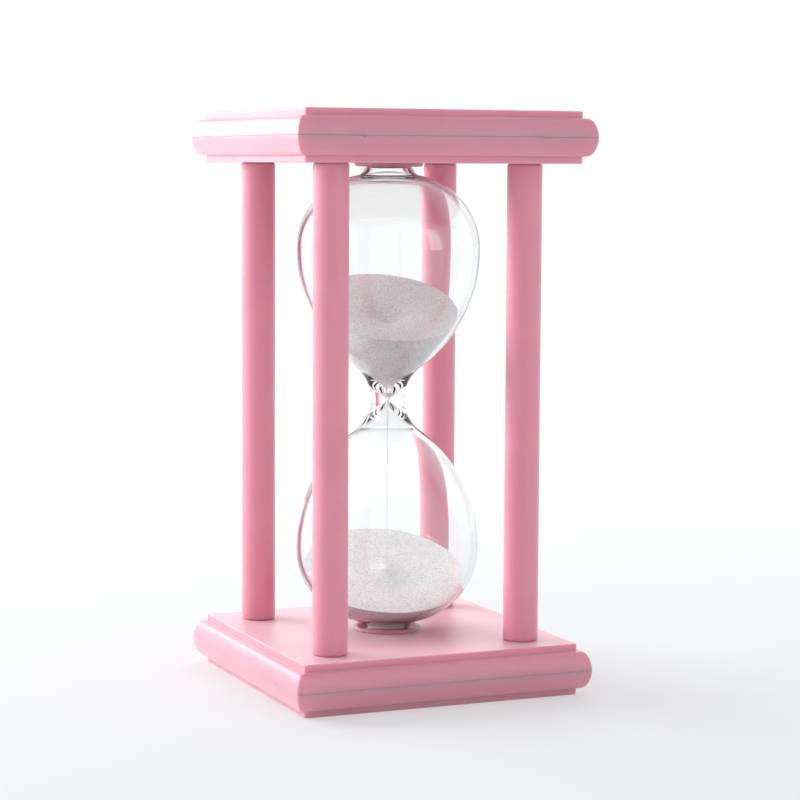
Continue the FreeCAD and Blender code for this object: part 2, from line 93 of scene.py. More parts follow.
class Outline:
    """A path in the plane of distance and height, made of straight runs and round arcs."""

    def __init__(self, distance: float, height: float) -> None:
        """Start the path at one point."""
        self.runs: list[Table] = [np.array([[distance, height]], float)]

    def line(self, distance: float, height: float, steps: int = 1) -> "Outline":
        """Add a straight run, as equal steps between the last point and the new one.

        Args:
            distance: Where the run ends, from the axis or centre plane.
            height: Where the run ends, upwards.
            steps: Number of equal steps.

        Returns:
            The same outline, for the next call.
        """
        start = self.runs[-1][-1]
        share = np.linspace(0.0, 1.0, steps + 1)[1:, None]
        self.runs.append(start + (np.array([distance, height]) - start) * share)
        return self

    def arc(self, distance: float, height: float, radius: float, bulge: Bulge,
            steps: int = 8) -> "Outline":
        """Add a round arc under a half turn.

        The centre stands off the middle of the chord, on the side away from the bulge, by the
        root of the radius squared less half the chord squared. The angle then runs evenly from
        the first end to the last.

        Args:
            distance: Where the arc ends, from the axis or centre plane.
            height: Where the arc ends, upwards.
            radius: Radius of the arc.
            bulge: Side to which the arc swells.
            steps: Number of equal steps.

        Returns:
            The same outline, for the next call.
        """
        start = self.runs[-1][-1]
        end = np.array([distance, height], float)
        chord = end - start
        length = float(np.hypot(*chord))
        away = np.array([chord[1], -chord[0]]) / length * bulge.value
        reach = math.sqrt(max(radius * radius - length * length / 4.0, 0.0))
        centre = (start + end) / 2.0 + away * reach
        first = math.atan2(*(start - centre)[::-1])
        turn = math.atan2(*(end - centre)[::-1]) - first
        turn = (turn + math.pi) % (2.0 * math.pi) - math.pi
        angle = first + turn * np.linspace(0.0, 1.0, steps + 1)[1:]
        self.runs.append(centre + radius * np.stack([np.cos(angle), np.sin(angle)], 1))
        return self

    def points(self) -> Table:
        """All points of the path, one row each."""
        return np.concatenate(self.runs)


@dataclass(frozen=True)
class Lattice:
    """A surface as rows and columns of points, in millimetres.

    Attributes:
        points: Array of rows x columns x 3.
        ring_rows: Whether the last row joins the first.
        ring_columns: Whether the last column joins the first.
    """

    points: Table
    ring_rows: bool = False
    ring_columns: bool = True

    def quads(self, first: int) -> Table:
        """Four-cornered faces between neighbouring rows and columns.

        Args:
            first: Index of the lattice's first point in the whole mesh.

        Returns:
            Array of faces x 4 point indices.
        """
        rows, columns = self.points.shape[:2]
        row = np.arange(rows if self.ring_rows else rows - 1)[:, None]
        column = np.arange(columns if self.ring_columns else columns - 1)[None, :]
        below, above = row * columns, (row + 1) % rows * columns
        beside = (column + 1) % columns
        corners = [below + column, below + beside, above + beside, above + column]
        return np.stack(corners, -1).reshape(-1, 4) + first


def revolve(path: Table, segments: int, centre: Sequence[float] = (0.0, 0.0)) -> Lattice:
    """Turn a path round an upright axis: x = r cos a, y = r sin a, z = height.

    Args:
        path: Points of distance and height.
        segments: Number of steps round the axis.
        centre: X and Y of the axis.

    Returns:
        The turned surface, closed round the axis.
    """
    angle = np.linspace(0.0, 2.0 * math.pi, segments, endpoint=False)
    radius = path[:, :1]
    x = centre[0] + radius * np.cos(angle)
    y = centre[1] + radius * np.sin(angle)
    z = np.broadcast_to(path[:, 1:], x.shape)
    return Lattice(np.stack([x, y, z], -1))


def upside_down(points: Table, height: float) -> Table:
    """Turn points half round the X axis so that the lower end serves as the upper end."""
    return points * np.array([1.0, -1.0, -1.0]) + np.array([0.0, 0.0, height])


def make_mesh(name: str, lattices: Sequence[Lattice], sharp_angle: float) -> bpy.types.Mesh:
    """Join lattices into one mesh with its seams and poles welded and its faces outwards.

    Args:
        name: Name of the mesh.
        lattices: Surfaces in millimetres.
        sharp_angle: Edges that turn by more than this many degrees shade as sharp.

    Returns:
        The finished mesh, in metres.
    """
    counts = np.cumsum([0] + [part.points.shape[0] * part.points.shape[1] for part in lattices])
    points = np.concatenate([part.points.reshape(-1, 3) for part in lattices]) * MM
    faces = np.concatenate([part.quads(int(first)) for part, first in zip(lattices, counts)])
    mesh = bpy.data.meshes.new(name)
    mesh.from_pydata(points, [], faces.tolist())
    work = bmesh.new()
    work.from_mesh(mesh)
    bmesh.ops.remove_doubles(work, verts=work.verts, dist=1e-7)
    bmesh.ops.recalc_face_normals(work, faces=work.faces)
    work.to_mesh(mesh)
    work.free()
    mesh.shade_smooth()
    mesh.set_sharp_from_angle(angle=math.radians(sharp_angle))
    return mesh


@dataclass(frozen=True)
class Piece:
    """What one finished piece is called, stands for, rides on and is made of.

    Attributes:
        name: Name of the piece.
        node: CAD node that it stands for.
        body: CAD body that it moves with.
        slot: Material slot of the record; not used.
        material: Material that it wears.
        sharp_angle: Edges that turn by more degrees than this shade as sharp.
    """

    name: str
    node: str
    body: str
    slot: str
    material: bpy.types.Material
    sharp_angle: float = 38.0

    def make(self, lattices: Sequence[Lattice], even_flats: bool = False) -> bpy.types.Object:
        """Build the piece's object, dress it and tie it to the frame.

        Args:
            lattices: Surfaces in millimetres.
            even_flats: Whether large flat faces decide the shading beside their rounded edges.

        Returns:
            The new object.
        """
        mesh = make_mesh(self.name, lattices, self.sharp_angle)
        mesh.materials.append(self.material)
        thing = bpy.data.objects.new(self.name, mesh)
        bpy.context.scene.collection.objects.link(thing)
        if even_flats:
            weigh = thing.modifiers.new("even flats", "WEIGHTED_NORMAL")
            weigh.keep_sharp = True
        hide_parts(self.node)
        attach(thing, self.body)
        log.info("%s: %d faces", self.name, len(mesh.polygons))
        return thing


# ---------------------------------------------------------------- helpers for materials

def linear(colour: str) -> tuple[float, float, float, float]:
    """Turn an sRGB hex colour, such as "#E29AAC", to linear red, green, blue and opacity."""
    parts = [int(colour[place:place + 2], 16) / 255.0 for place in (1, 3, 5)]
    bent = [part / 12.92 if part <= 0.04045 else ((part + 0.055) / 1.055) ** 2.4
            for part in parts]
    return (bent[0], bent[1], bent[2], 1.0)


def add_node(tree: bpy.types.NodeTree, kind: str, inputs: Optional[dict[Any, Any]] = None,
             **settings: Any) -> bpy.types.Node:
    """Add a node with its settings, socket values and links.

    Args:
        tree: Tree that receives the node.
        kind: Blender's name for the type of node.
        inputs: Value or linked output for each input socket, by name or number.
        settings: Attributes of the node itself.

    Returns:
        The new node.
    """
    node = tree.nodes.new(kind)
    for name, value in settings.items():
        setattr(node, name, value)
    for key, value in (inputs or {}).items():
        if isinstance(value, bpy.types.NodeSocket):
            tree.links.new(value, node.inputs[key])
        else:
            node.inputs[key].default_value = value
    return node


def calculate(tree: bpy.types.NodeTree, operation: str, *values: Any) -> bpy.types.NodeSocket:
    """Add one maths node.

    Args:
        tree: Where it goes.
        operation: What it does.
        values: Its inputs in order, each a number or a socket.

    Returns:
        The socket with its result.
    """
    inputs = dict(enumerate(values))
    return add_node(tree, "ShaderNodeMath", inputs, operation=operation).outputs["Value"]


def set_stops(ramp: bpy.types.Node, stops: Sequence[tuple[float, str]]) -> None:
    """Give a colour ramp its stops, each a place from 0 to 1 and an sRGB hex colour."""
    elements = ramp.color_ramp.elements
    while len(elements) < len(stops):
        elements.new(1.0)
    for element, (place, colour) in zip(elements, stops):
        element.position = place
        element.color = linear(colour)


def empty_tree(name: str) -> tuple[bpy.types.Material, bpy.types.NodeTree]:
    """Make a material whose node tree is empty."""
    material = bpy.data.materials.new(name)
    material.use_nodes = True
    material.node_tree.nodes.clear()
    return material, material.node_tree


def per_metre(size_mm: float) -> float:
    """Scale of a pattern whose cells are this many millimetres across."""
    return 1.0 / (size_mm * MM)


# ---------------------------------------------------------------- finishes

@dataclass(frozen=True)
class MouldedAbs:
    """Injection-moulded ABS with its colour mixed into the pellets.

    ABS shrinks a little unevenly as it cools in the mould, so broad flats reflect with a faint
    swell, and colour streaks follow the flow of the melt. The steel's fine polish marks leave
    a satin gloss rather than a mirror, with a pale bloom where it is seen at a low angle. The
    plastic lets some light in, which reddens its shade.
    """

    name: str
    colour: str
    streak_colour: str
    roughness: float
    flow_size: float = 16.0      # width of the colour streaks
    swell_size: float = 22.0     # spacing of the shrinkage swells
    swell_depth: float = 0.02
    polish_size: float = 0.7     # polish marks, drawn about five times as coarse as they are
    polish_depth: float = 0.0012
    let_in: float = 0.55
    light_reach: float = 6.0     # how far red light spreads inside
    bloom: float = 0.35
    bloom_spread: float = 0.45

    def build(self) -> bpy.types.Material:
        """Make the node material."""
        material, tree = empty_tree(self.name)
        place = add_node(tree, "ShaderNodeTexCoord").outputs["Object"]
        flow = add_node(tree, "ShaderNodeTexNoise", {
            "Vector": place, "Scale": per_metre(self.flow_size), "Detail": 3.0,
            "Roughness": 0.45, "Distortion": 0.6})
        colour = add_node(tree, "ShaderNodeValToRGB", {"Fac": flow.outputs["Fac"]})
        set_stops(colour, [(0.32, self.colour), (0.72, self.streak_colour)])
        polish = add_node(tree, "ShaderNodeTexNoise", {
            "Vector": place, "Scale": per_metre(self.polish_size), "Detail": 2.0})
        gloss = add_node(tree, "ShaderNodeMapRange", {
            "Value": polish.outputs["Fac"], "To Min": self.roughness - 0.035,
            "To Max": self.roughness + 0.035})
        swell = add_node(tree, "ShaderNodeTexNoise", {
            "Vector": place, "Scale": per_metre(self.swell_size), "Detail": 1.0})
        broad = add_node(tree, "ShaderNodeBump", {
            "Height": swell.outputs["Fac"], "Strength": 1.0, "Distance": self.swell_depth * MM})
        fine = add_node(tree, "ShaderNodeBump", {
            "Height": polish.outputs["Fac"], "Strength": 1.0,
            "Distance": self.polish_depth * MM, "Normal": broad.outputs["Normal"]})
        reach = self.light_reach * MM
        shader = add_node(tree, "ShaderNodeBsdfPrincipled", {
            "Base Color": colour.outputs["Color"], "Roughness": gloss.outputs["Result"],
            "IOR": 1.53, "Normal": fine.outputs["Normal"], "Subsurface Weight": self.let_in,
            "Subsurface Radius": (reach, reach * 0.35, reach * 0.4), "Subsurface Scale": 1.0,
            "Sheen Weight": self.bloom, "Sheen Roughness": self.bloom_spread})
        add_node(tree, "ShaderNodeOutputMaterial", {"Surface": shader.outputs["BSDF"]})
        return material


@dataclass(frozen=True)
class BlownGlass:
    """Clear soda-lime glass, blown in a mould and drawn at the waist over a flame.

    Fire polish leaves it perfectly smooth, but the wall's thickness varies slowly, which
    bends what shows behind it. Lamps shine through it, so that the sand inside is lit.
    """

    name: str = "blown soda-lime glass"
    colour: str = "#FBFDFD"
    # painted shade: the grey that the glass takes where it is seen edge-on, which darkens the
    # outline of the bulbs
    rim_shade_colour: str = "#A3A9AC"
    wave_size: float = 14.0
    wave_depth: float = 0.10

    def build(self) -> bpy.types.Material:
        """Make the node material, with a shadow that lets lamps through."""
        material, tree = empty_tree(self.name)
        place = add_node(tree, "ShaderNodeTexCoord").outputs["Object"]
        wave = add_node(tree, "ShaderNodeTexNoise", {
            "Vector": place, "Scale": per_metre(self.wave_size), "Detail": 1.0,
            "Roughness": 0.3})
        bend = add_node(tree, "ShaderNodeBump", {
            "Height": wave.outputs["Fac"], "Strength": 1.0, "Distance": self.wave_depth * MM})
        # The colour turns from clear to grey as the surface turns edge-on: painted shade along
        # the rims of the bulbs.
        facing = add_node(tree, "ShaderNodeLayerWeight", {"Blend": 0.35})
        rim_shade_tint = add_node(tree, "ShaderNodeValToRGB", {"Fac": facing.outputs["Facing"]})
        set_stops(rim_shade_tint, [(0.62, self.colour), (1.0, self.rim_shade_colour)])
        glass = add_node(tree, "ShaderNodeBsdfPrincipled", {
            "Base Color": rim_shade_tint.outputs["Color"], "Roughness": 0.0, "IOR": 1.5,
            "Transmission Weight": 1.0, "Normal": bend.outputs["Normal"]})
        clear = add_node(tree, "ShaderNodeBsdfTransparent", {"Color": linear("#FEFEFE")})
        ray = add_node(tree, "ShaderNodeLightPath")
        mixed = add_node(tree, "ShaderNodeMixShader", {
            0: ray.outputs["Is Shadow Ray"], 1: glass.outputs["BSDF"],
            2: clear.outputs["BSDF"]})
        add_node(tree, "ShaderNodeOutputMaterial", {"Surface": mixed.outputs["Shader"]})
        return material


@dataclass(frozen=True)
class QuartzSand:
    """White quartz sand, sieved fine.

    Each grain is a broken crystal: a few flash as their faces catch the lamp, some are grey
    and clear, most are white. Real grains are about 0.2 mm and are drawn at 0.34 mm so that
    they still show one by one.
    """

    name: str = "white quartz sand"
    grain_size: float = 0.34
    grain_depth: float = 0.09
    patch_size: float = 5.0

    def build(self) -> bpy.types.Material:
        """Make the node material."""
        material, tree = empty_tree(self.name)
        place = add_node(tree, "ShaderNodeTexCoord").outputs["Object"]
        grain = add_node(tree, "ShaderNodeTexVoronoi", {
            "Vector": place, "Scale": per_metre(self.grain_size)})
        pick = add_node(tree, "ShaderNodeSeparateColor", {"Color": grain.outputs["Color"]})
        shade = add_node(tree, "ShaderNodeValToRGB", {"Fac": pick.outputs["Red"]})
        set_stops(shade, [(0.0, "#D3D0D1"), (0.15, "#E7E5E6"), (0.6, "#F1F0F0"),
                          (0.9, "#FAFAFA")])
        patch = add_node(tree, "ShaderNodeTexNoise", {
            "Vector": place, "Scale": per_metre(self.patch_size), "Detail": 2.0})
        cloud = add_node(tree, "ShaderNodeMapRange", {
            "Value": patch.outputs["Fac"], "To Min": 0.93, "To Max": 1.0})
        colour = add_node(tree, "ShaderNodeVectorMath", {
            0: shade.outputs["Color"], "Scale": cloud.outputs["Result"]}, operation="SCALE")
        gloss = add_node(tree, "ShaderNodeMapRange", {
            "Value": pick.outputs["Green"], "From Min": 0.8, "To Min": 0.75, "To Max": 0.18})
        heap = add_node(tree, "ShaderNodeBump", {
            "Height": grain.outputs["Distance"], "Strength": 0.8,
            "Distance": self.grain_depth * MM}, invert=True)
        shader = add_node(tree, "ShaderNodeBsdfPrincipled", {
            "Base Color": colour.outputs["Vector"], "Roughness": gloss.outputs["Result"],
            "IOR": 1.54, "Normal": heap.outputs["Normal"]})
        add_node(tree, "ShaderNodeOutputMaterial", {"Surface": shader.outputs["BSDF"]})
        return material


@dataclass(frozen=True)
class ZincPlate:
    """Steel screws and washers, barrel-plated with zinc.

    The plating is bright but finely frosted, with a faint bluish passivation and small scuffs
    from tumbling in the barrel.
    """

    name: str = "zinc-plated steel"
    scuff_size: float = 0.9

    def build(self) -> bpy.types.Material:
        """Make the node material."""
        material, tree = empty_tree(self.name)
        place = add_node(tree, "ShaderNodeTexCoord").outputs["Object"]
        scuff = add_node(tree, "ShaderNodeTexNoise", {
            "Vector": place, "Scale": per_metre(self.scuff_size), "Detail": 4.0})
        tone = add_node(tree, "ShaderNodeValToRGB", {"Fac": scuff.outputs["Fac"]})
        set_stops(tone, [(0.3, "#B4B8BD"), (0.7, "#D4D6D8")])
        gloss = add_node(tree, "ShaderNodeMapRange", {
            "Value": scuff.outputs["Fac"], "To Min": 0.25, "To Max": 0.45})
        shader = add_node(tree, "ShaderNodeBsdfPrincipled", {
            "Base Color": tone.outputs["Color"], "Metallic": 1.0,
            "Roughness": gloss.outputs["Result"]})
        add_node(tree, "ShaderNodeOutputMaterial", {"Surface": shader.outputs["BSDF"]})
        return material


@dataclass(frozen=True)
class CellPadding:
    """Soft cellular or rubbery padding, die-cut or cast, matt all over.

    Foam shows its cut cells as fine pits; cast gum rubber, with tiny cells and little depth,
    is only faintly clouded. Each cell is coloured darker where it is deepest: painted shade in
    the pits.
    """

    name: str
    colour: str
    pit_shade_colour: str
    cell_size: float
    cell_depth: float
    roughness: float

    def build(self) -> bpy.types.Material:
        """Make the node material."""
        material, tree = empty_tree(self.name)
        place = add_node(tree, "ShaderNodeTexCoord").outputs["Object"]
        cell = add_node(tree, "ShaderNodeTexVoronoi", {
            "Vector": place, "Scale": per_metre(self.cell_size)})
        # darker where the pit is deepest: painted shade
        tone = add_node(tree, "ShaderNodeValToRGB", {"Fac": cell.outputs["Distance"]})
        set_stops(tone, [(0.1, self.pit_shade_colour), (0.6, self.colour)])
        pits = add_node(tree, "ShaderNodeBump", {
            "Height": cell.outputs["Distance"], "Strength": 0.6,
            "Distance": self.cell_depth * MM})
        shader = add_node(tree, "ShaderNodeBsdfPrincipled", {
            "Base Color": tone.outputs["Color"], "Roughness": self.roughness, "IOR": 1.45,
            "Normal": pits.outputs["Normal"]})
        add_node(tree, "ShaderNodeOutputMaterial", {"Surface": shader.outputs["BSDF"]})
        return material


# ---------------------------------------------------------------- moulded frame

class End(Enum):
    """The two ends of the timer, with the word that starts their pieces' names."""

    BOTTOM = "bottom"
    TOP = "top"


@dataclass(frozen=True)
class SquareRing:
    """Unit description of a square with rounded corners, walked once round.

    A point is centre x (half width - corner radius) + outward x corner radius.

    Attributes:
        centre: Places between the centres of the corner arcs, from -1 to 1.
        outward: Unit vectors square to the edge.
    """

    centre: Table
    outward: Table

    @classmethod
    def walk(cls, side_steps: int, corner_steps: int) -> "SquareRing":
        """Lay samples along the four sides and round the four corners.

        Args:
            side_steps: Steps along each straight side.
            corner_steps: Steps round each corner.

        Returns:
            The ring, closed on itself.
        """
        share = np.linspace(0.0, 1.0, side_steps + 1)[1:-1]
        swing = np.linspace(0.0, math.pi / 2.0, corner_steps + 1)
        quarter = np.concatenate([swing, np.full(len(share), math.pi / 2.0)])
        side = np.stack([1.0 - 2.0 * share, np.ones_like(share)], 1)
        middle = np.concatenate([np.ones((len(swing), 2)), side])
        turns = [np.array([[math.cos(a), math.sin(a)], [-math.sin(a), math.cos(a)]])
                 for a in np.arange(4) * math.pi / 2.0]
        facing = np.stack([np.cos(quarter), np.sin(quarter)], 1)
        return cls(np.concatenate([middle @ turn for turn in turns]),
                   np.concatenate([facing @ turn for turn in turns]))

    def lay(self, rows: Table) -> Table:
        """Carry the ring through rows of size, height, squareness and corner radius.

        A row with squareness 1 is a square of that half width; with 0 it is a circle of that
        radius; between them the two are mixed along straight lines.

        Args:
            rows: Array of rows x 4.

        Returns:
            Points as an array of rows x samples x 3.
        """
        size, height, square, corner = (rows[:, None, k:k + 1] for k in range(4))
        flat = self.centre * (size - corner) + self.outward * corner
        ray = self.centre + self.outward * 0.01
        ray = ray / np.linalg.norm(ray, axis=1, keepdims=True)
        plan = flat * square + ray * size * (1.0 - square)
        return np.concatenate([plan, np.broadcast_to(height, plan.shape[:2] + (1,))], -1)


def square_rows(path: Table, corner: float) -> Table:
    """Rows for SquareRing.lay that follow a path with one corner radius all along."""
    extra = np.broadcast_to([1.0, corner], (len(path), 2))
    rows = np.concatenate([path, extra], 1)
    rows[:, 3] = np.minimum(rows[:, 3], rows[:, 0])
    return rows


@dataclass
class EndPlate:
    """One square end of the frame: an outer cover and an inner shell that meet at a seam.

    Heights inside the class are counted from the seam towards the flat face of each half.
    """

    end: End
    material: bpy.types.Material
    tier_half: float = 40.1
    tier_step: float = 1.9
    nose_lip: float = 0.5
    nose_small_arc: float = 2.0
    skin: float = 2.0
    draft: float = 3.0
    tongue_width: float = 0.9
    tongue_depth: float = 1.2
    joint_gap: float = 0.1
    collar_hole: float = 8.95
    boss_radius: float = 5.6
    boss_depth: float = 3.0
    screw_hole: float = 1.6
    tier_round: float = 0.32     # worn edge of the tier
    seam_round: float = 0.16     # lead-in on each half, which makes the fine groove
    mitre_round: float = 0.5     # plan radius of the corners
    weld_offset: float = 26.3    # weld marks, from the middle of each side
    weld_size: float = 0.42

    def __post_init__(self) -> None:
        """Read the plate's outer sizes from the frame."""
        self.seam = box_mm("bottom_cover")[1].z
        self.thick = box_mm("bottom_inner_shell")[1].z
        self.half = box_mm("bottom_cover")[1].x
        self.height = box_mm("top_cover")[1].z
        self.post_offset = sum(axis.x for axis in box_mm("pillar_front_right")) / 2.0
        self.ring = SquareRing.walk(26, 6)

    def edge(self) -> Outline:
        """Outer edge of a half, from its flat face round the tier and bullnose to the seam.

        The bullnose is a small arc, tangent to the shelf, and a flatter arc, tangent to both
        the small one and the upright at the seam.

        Returns:
            The outline, whose heights count from the seam.
        """
        high = self.seam - self.tier_step
        width = self.half - self.tier_half - self.nose_lip
        small = self.nose_small_arc
        big = (width * width + high * high - 2.0 * high * small) / (2.0 * (width - small))
        shelf = self.tier_half + self.nose_lip
        share = small / (big - small)
        meet = (shelf + (shelf - self.half + big) * share, (high - small) * (1.0 + share))
        lead = self.seam_round
        last_x = self.half - big + math.sqrt(big * big - lead * lead)
        edge = Outline(self.tier_half - self.tier_round - 0.3, self.seam)
        edge.line(self.tier_half - self.tier_round, self.seam)
        edge.arc(self.tier_half, self.seam - self.tier_round, self.tier_round, Bulge.LEFT, 5)
        edge.line(self.tier_half, high + 0.15, 2)
        edge.arc(self.tier_half + 0.15, high, 0.15, Bulge.RIGHT, 3)
        edge.line(shelf, high)
        edge.arc(*meet, small, Bulge.LEFT, 10)
        edge.arc(last_x, lead, big, Bulge.LEFT, 14)
        edge.arc(self.half - lead, 0.0, lead, Bulge.LEFT, 4)
        return edge

    def cavity_at(self, height: float) -> float:
        """Half width of the drafted hollow at a height from the seam."""
        share = height / (self.seam - self.skin)
        return self.tier_half - self.skin + self.draft * (1.0 - share)

    def cover_rows(self) -> Table:
        """Rows of the outer cover: flat face, edge, rebate, hollow, and its middle again."""
        edge = self.edge()
        rebate = self.tongue_depth + self.joint_gap
        outer = self.cavity_at(0.0) + self.tongue_width + self.joint_gap
        roof = self.seam - self.skin
        edge.line(outer, 0.0, 2).line(outer, rebate).line(self.cavity_at(rebate), rebate)
        edge.line(self.cavity_at(roof), roof, 4).line(0.0, roof, 4)
        start = np.linspace([0.0, self.seam], edge.runs[0][0], 5, endpoint=False)
        return square_rows(np.concatenate([start, edge.points()]), self.mitre_round)

    def shell_rows(self) -> Table:
        """Rows of the inner shell: collar hole, flat face, edge, tongue, hollow, hole again."""
        edge = self.edge()
        tongue = self.cavity_at(0.0)
        roof = self.seam - self.skin
        edge.line(tongue + self.tongue_width, 0.0, 2)
        edge.line(tongue + self.tongue_width, -self.tongue_depth)
        edge.line(tongue, -self.tongue_depth).line(tongue, 0.0)
        edge.line(self.cavity_at(roof), roof, 4)
        middle = square_rows(edge.points(), self.mitre_round)
        hole_round = 0.2
        face = [[self.collar_hole, self.seam - hole_round, 0.0, self.mitre_round],
                [self.collar_hole + hole_round, self.seam, 0.0, self.mitre_round]]
        face = np.concatenate([face[:1], np.linspace(face[1], middle[0], 8, endpoint=False)])
        inside = np.linspace(middle[-1], [self.collar_hole, roof, 0.0, self.mitre_round], 8)
        return np.concatenate([face, middle, inside[1:]])

    def place(self, points: Table) -> Table:
        """Put points made for the bottom end at this plate's own end."""
        return upside_down(points, self.height) if self.end is End.TOP else points

    def bosses(self) -> list[Lattice]:
        """Four tubes under the flat face that the screws pull against."""
        roof = self.thick - self.skin
        low = roof - self.boss_depth
        path = Outline(self.screw_hole, low).line(self.boss_radius, low)
        path.line(self.boss_radius, roof + 0.1).line(self.screw_hole, roof + 0.1)
        tubes = []
        for x in (-self.post_offset, self.post_offset):
            for y in (-self.post_offset, self.post_offset):
                tube = revolve(path.points(), 40, (x, y)).points
                tubes.append(Lattice(self.place(tube), ring_rows=True))
        return tubes

    def welds(self) -> list[Lattice]:
        """Little squeezed-out beads where the halves are welded, in pairs on each side.

        A bead is a flattened ball: its long axis lies along the seam, and its middle sits
        just under the crown of the bullnose, so that only its back stands out.
        """
        steps = np.linspace(0.0, math.pi, 6)
        ball = revolve(np.stack([np.sin(steps), np.cos(steps)], 1), 8).points
        beads = []
        places = [(-1.5, 0.35, 1.0), (-0.55, -0.1, 0.55), (0.6, 0.15, 0.7), (1.5, -0.3, 1.0)]
        for quarter in range(4):
            angle = quarter * math.pi / 2.0
            along = np.array([math.cos(angle), math.sin(angle), 0.0])
            out = np.array([math.sin(angle), -math.cos(angle), 0.0])
            up = np.array([0.0, 0.0, 1.0])
            for middle in (-self.weld_offset, self.weld_offset):
                for shift, rise, scale in places:
                    size = self.weld_size * scale
                    centre = along * (middle + shift) + out * (self.half - 0.08)
                    centre = centre + up * (self.seam + rise)
                    shape = (ball[..., :1] * along * size + ball[..., 1:2] * out * 0.22
                             + ball[..., 2:] * up * size * 0.6)
                    beads.append(Lattice(self.place(shape + centre)))
        return beads

    def build(self) -> None:
        """Make the cover and the inner shell of this end."""
        cover = self.ring.lay(self.cover_rows())
        cover[..., 2] = self.seam - cover[..., 2]
        shell = self.ring.lay(self.shell_rows())
        shell[..., 2] = self.seam + shell[..., 2]
        word = self.end.value
        wear = (self.material, 30.0)
        Piece(word + "_plate_cover", word + "_cover", "frame", "frame_plastic", *wear).make(
            [Lattice(self.place(cover))], even_flats=True)
        lattices = [Lattice(self.place(shell), ring_rows=True)] + self.bosses() + self.welds()
        Piece(word + "_plate_shell", word + "_inner_shell", "frame", "frame_plastic",
              *wear).make(lattices, even_flats=True)


@dataclass
class Pillars:
    """Four round posts between the plates, each with a spigot and a screw hole in both ends."""

    material: bpy.types.Material
    rounding: float = 0.7
    spigot_radius: float = 3.0
    pilot_radius: float = 1.35
    pilot_depth: float = 9.0
    segments: int = 88

    def half_outline(self, tip: float, face: float, inward: float) -> Outline:
        """Outline of one end, from the bottom of its screw hole out to its side.

        Args:
            tip: Height of the spigot's end.
            face: Height of the plate's flat face.
            inward: 1 when the pillar runs up from this end, -1 when it runs down.

        Returns:
            The outline.
        """
        bottom = tip + self.pilot_depth * inward
        lead = 0.2
        bulge = Bulge.RIGHT if inward > 0.0 else Bulge.LEFT
        path = Outline(0.0, bottom + self.pilot_radius * inward)
        path.line(self.pilot_radius, bottom).line(self.pilot_radius, tip)
        path.line(self.spigot_radius - lead, tip).line(self.spigot_radius, tip + lead * inward)
        path.line(self.spigot_radius, face).line(self.radius - self.rounding, face)
        path.arc(self.radius, face + self.rounding * inward, self.rounding, bulge, 7)
        return path

    def build(self) -> None:
        """Make the four pillars."""
        thick = box_mm("bottom_inner_shell")[1].z
        top_face = box_mm("top_inner_shell")[0].z
        for node in ("pillar_front_left", "pillar_front_right", "pillar_back_left",
                     "pillar_back_right"):
            low, high = box_mm(node)
            self.radius = (high.x - low.x) / 2.0
            lower = self.half_outline(low.z, thick, 1.0)
            start = thick + self.rounding
            lower.line(self.radius, start + 0.5).line(
                self.radius, top_face - self.rounding - 0.5, 10)
            upper = self.half_outline(high.z, top_face, -1.0).points()[::-1]
            path = np.concatenate([lower.points(), upper])
            centre = ((low.x + high.x) / 2.0, (low.y + high.y) / 2.0)
            Piece(node + "_post", node, "frame", "frame_plastic", self.material).make(
                [revolve(path, self.segments, centre)])


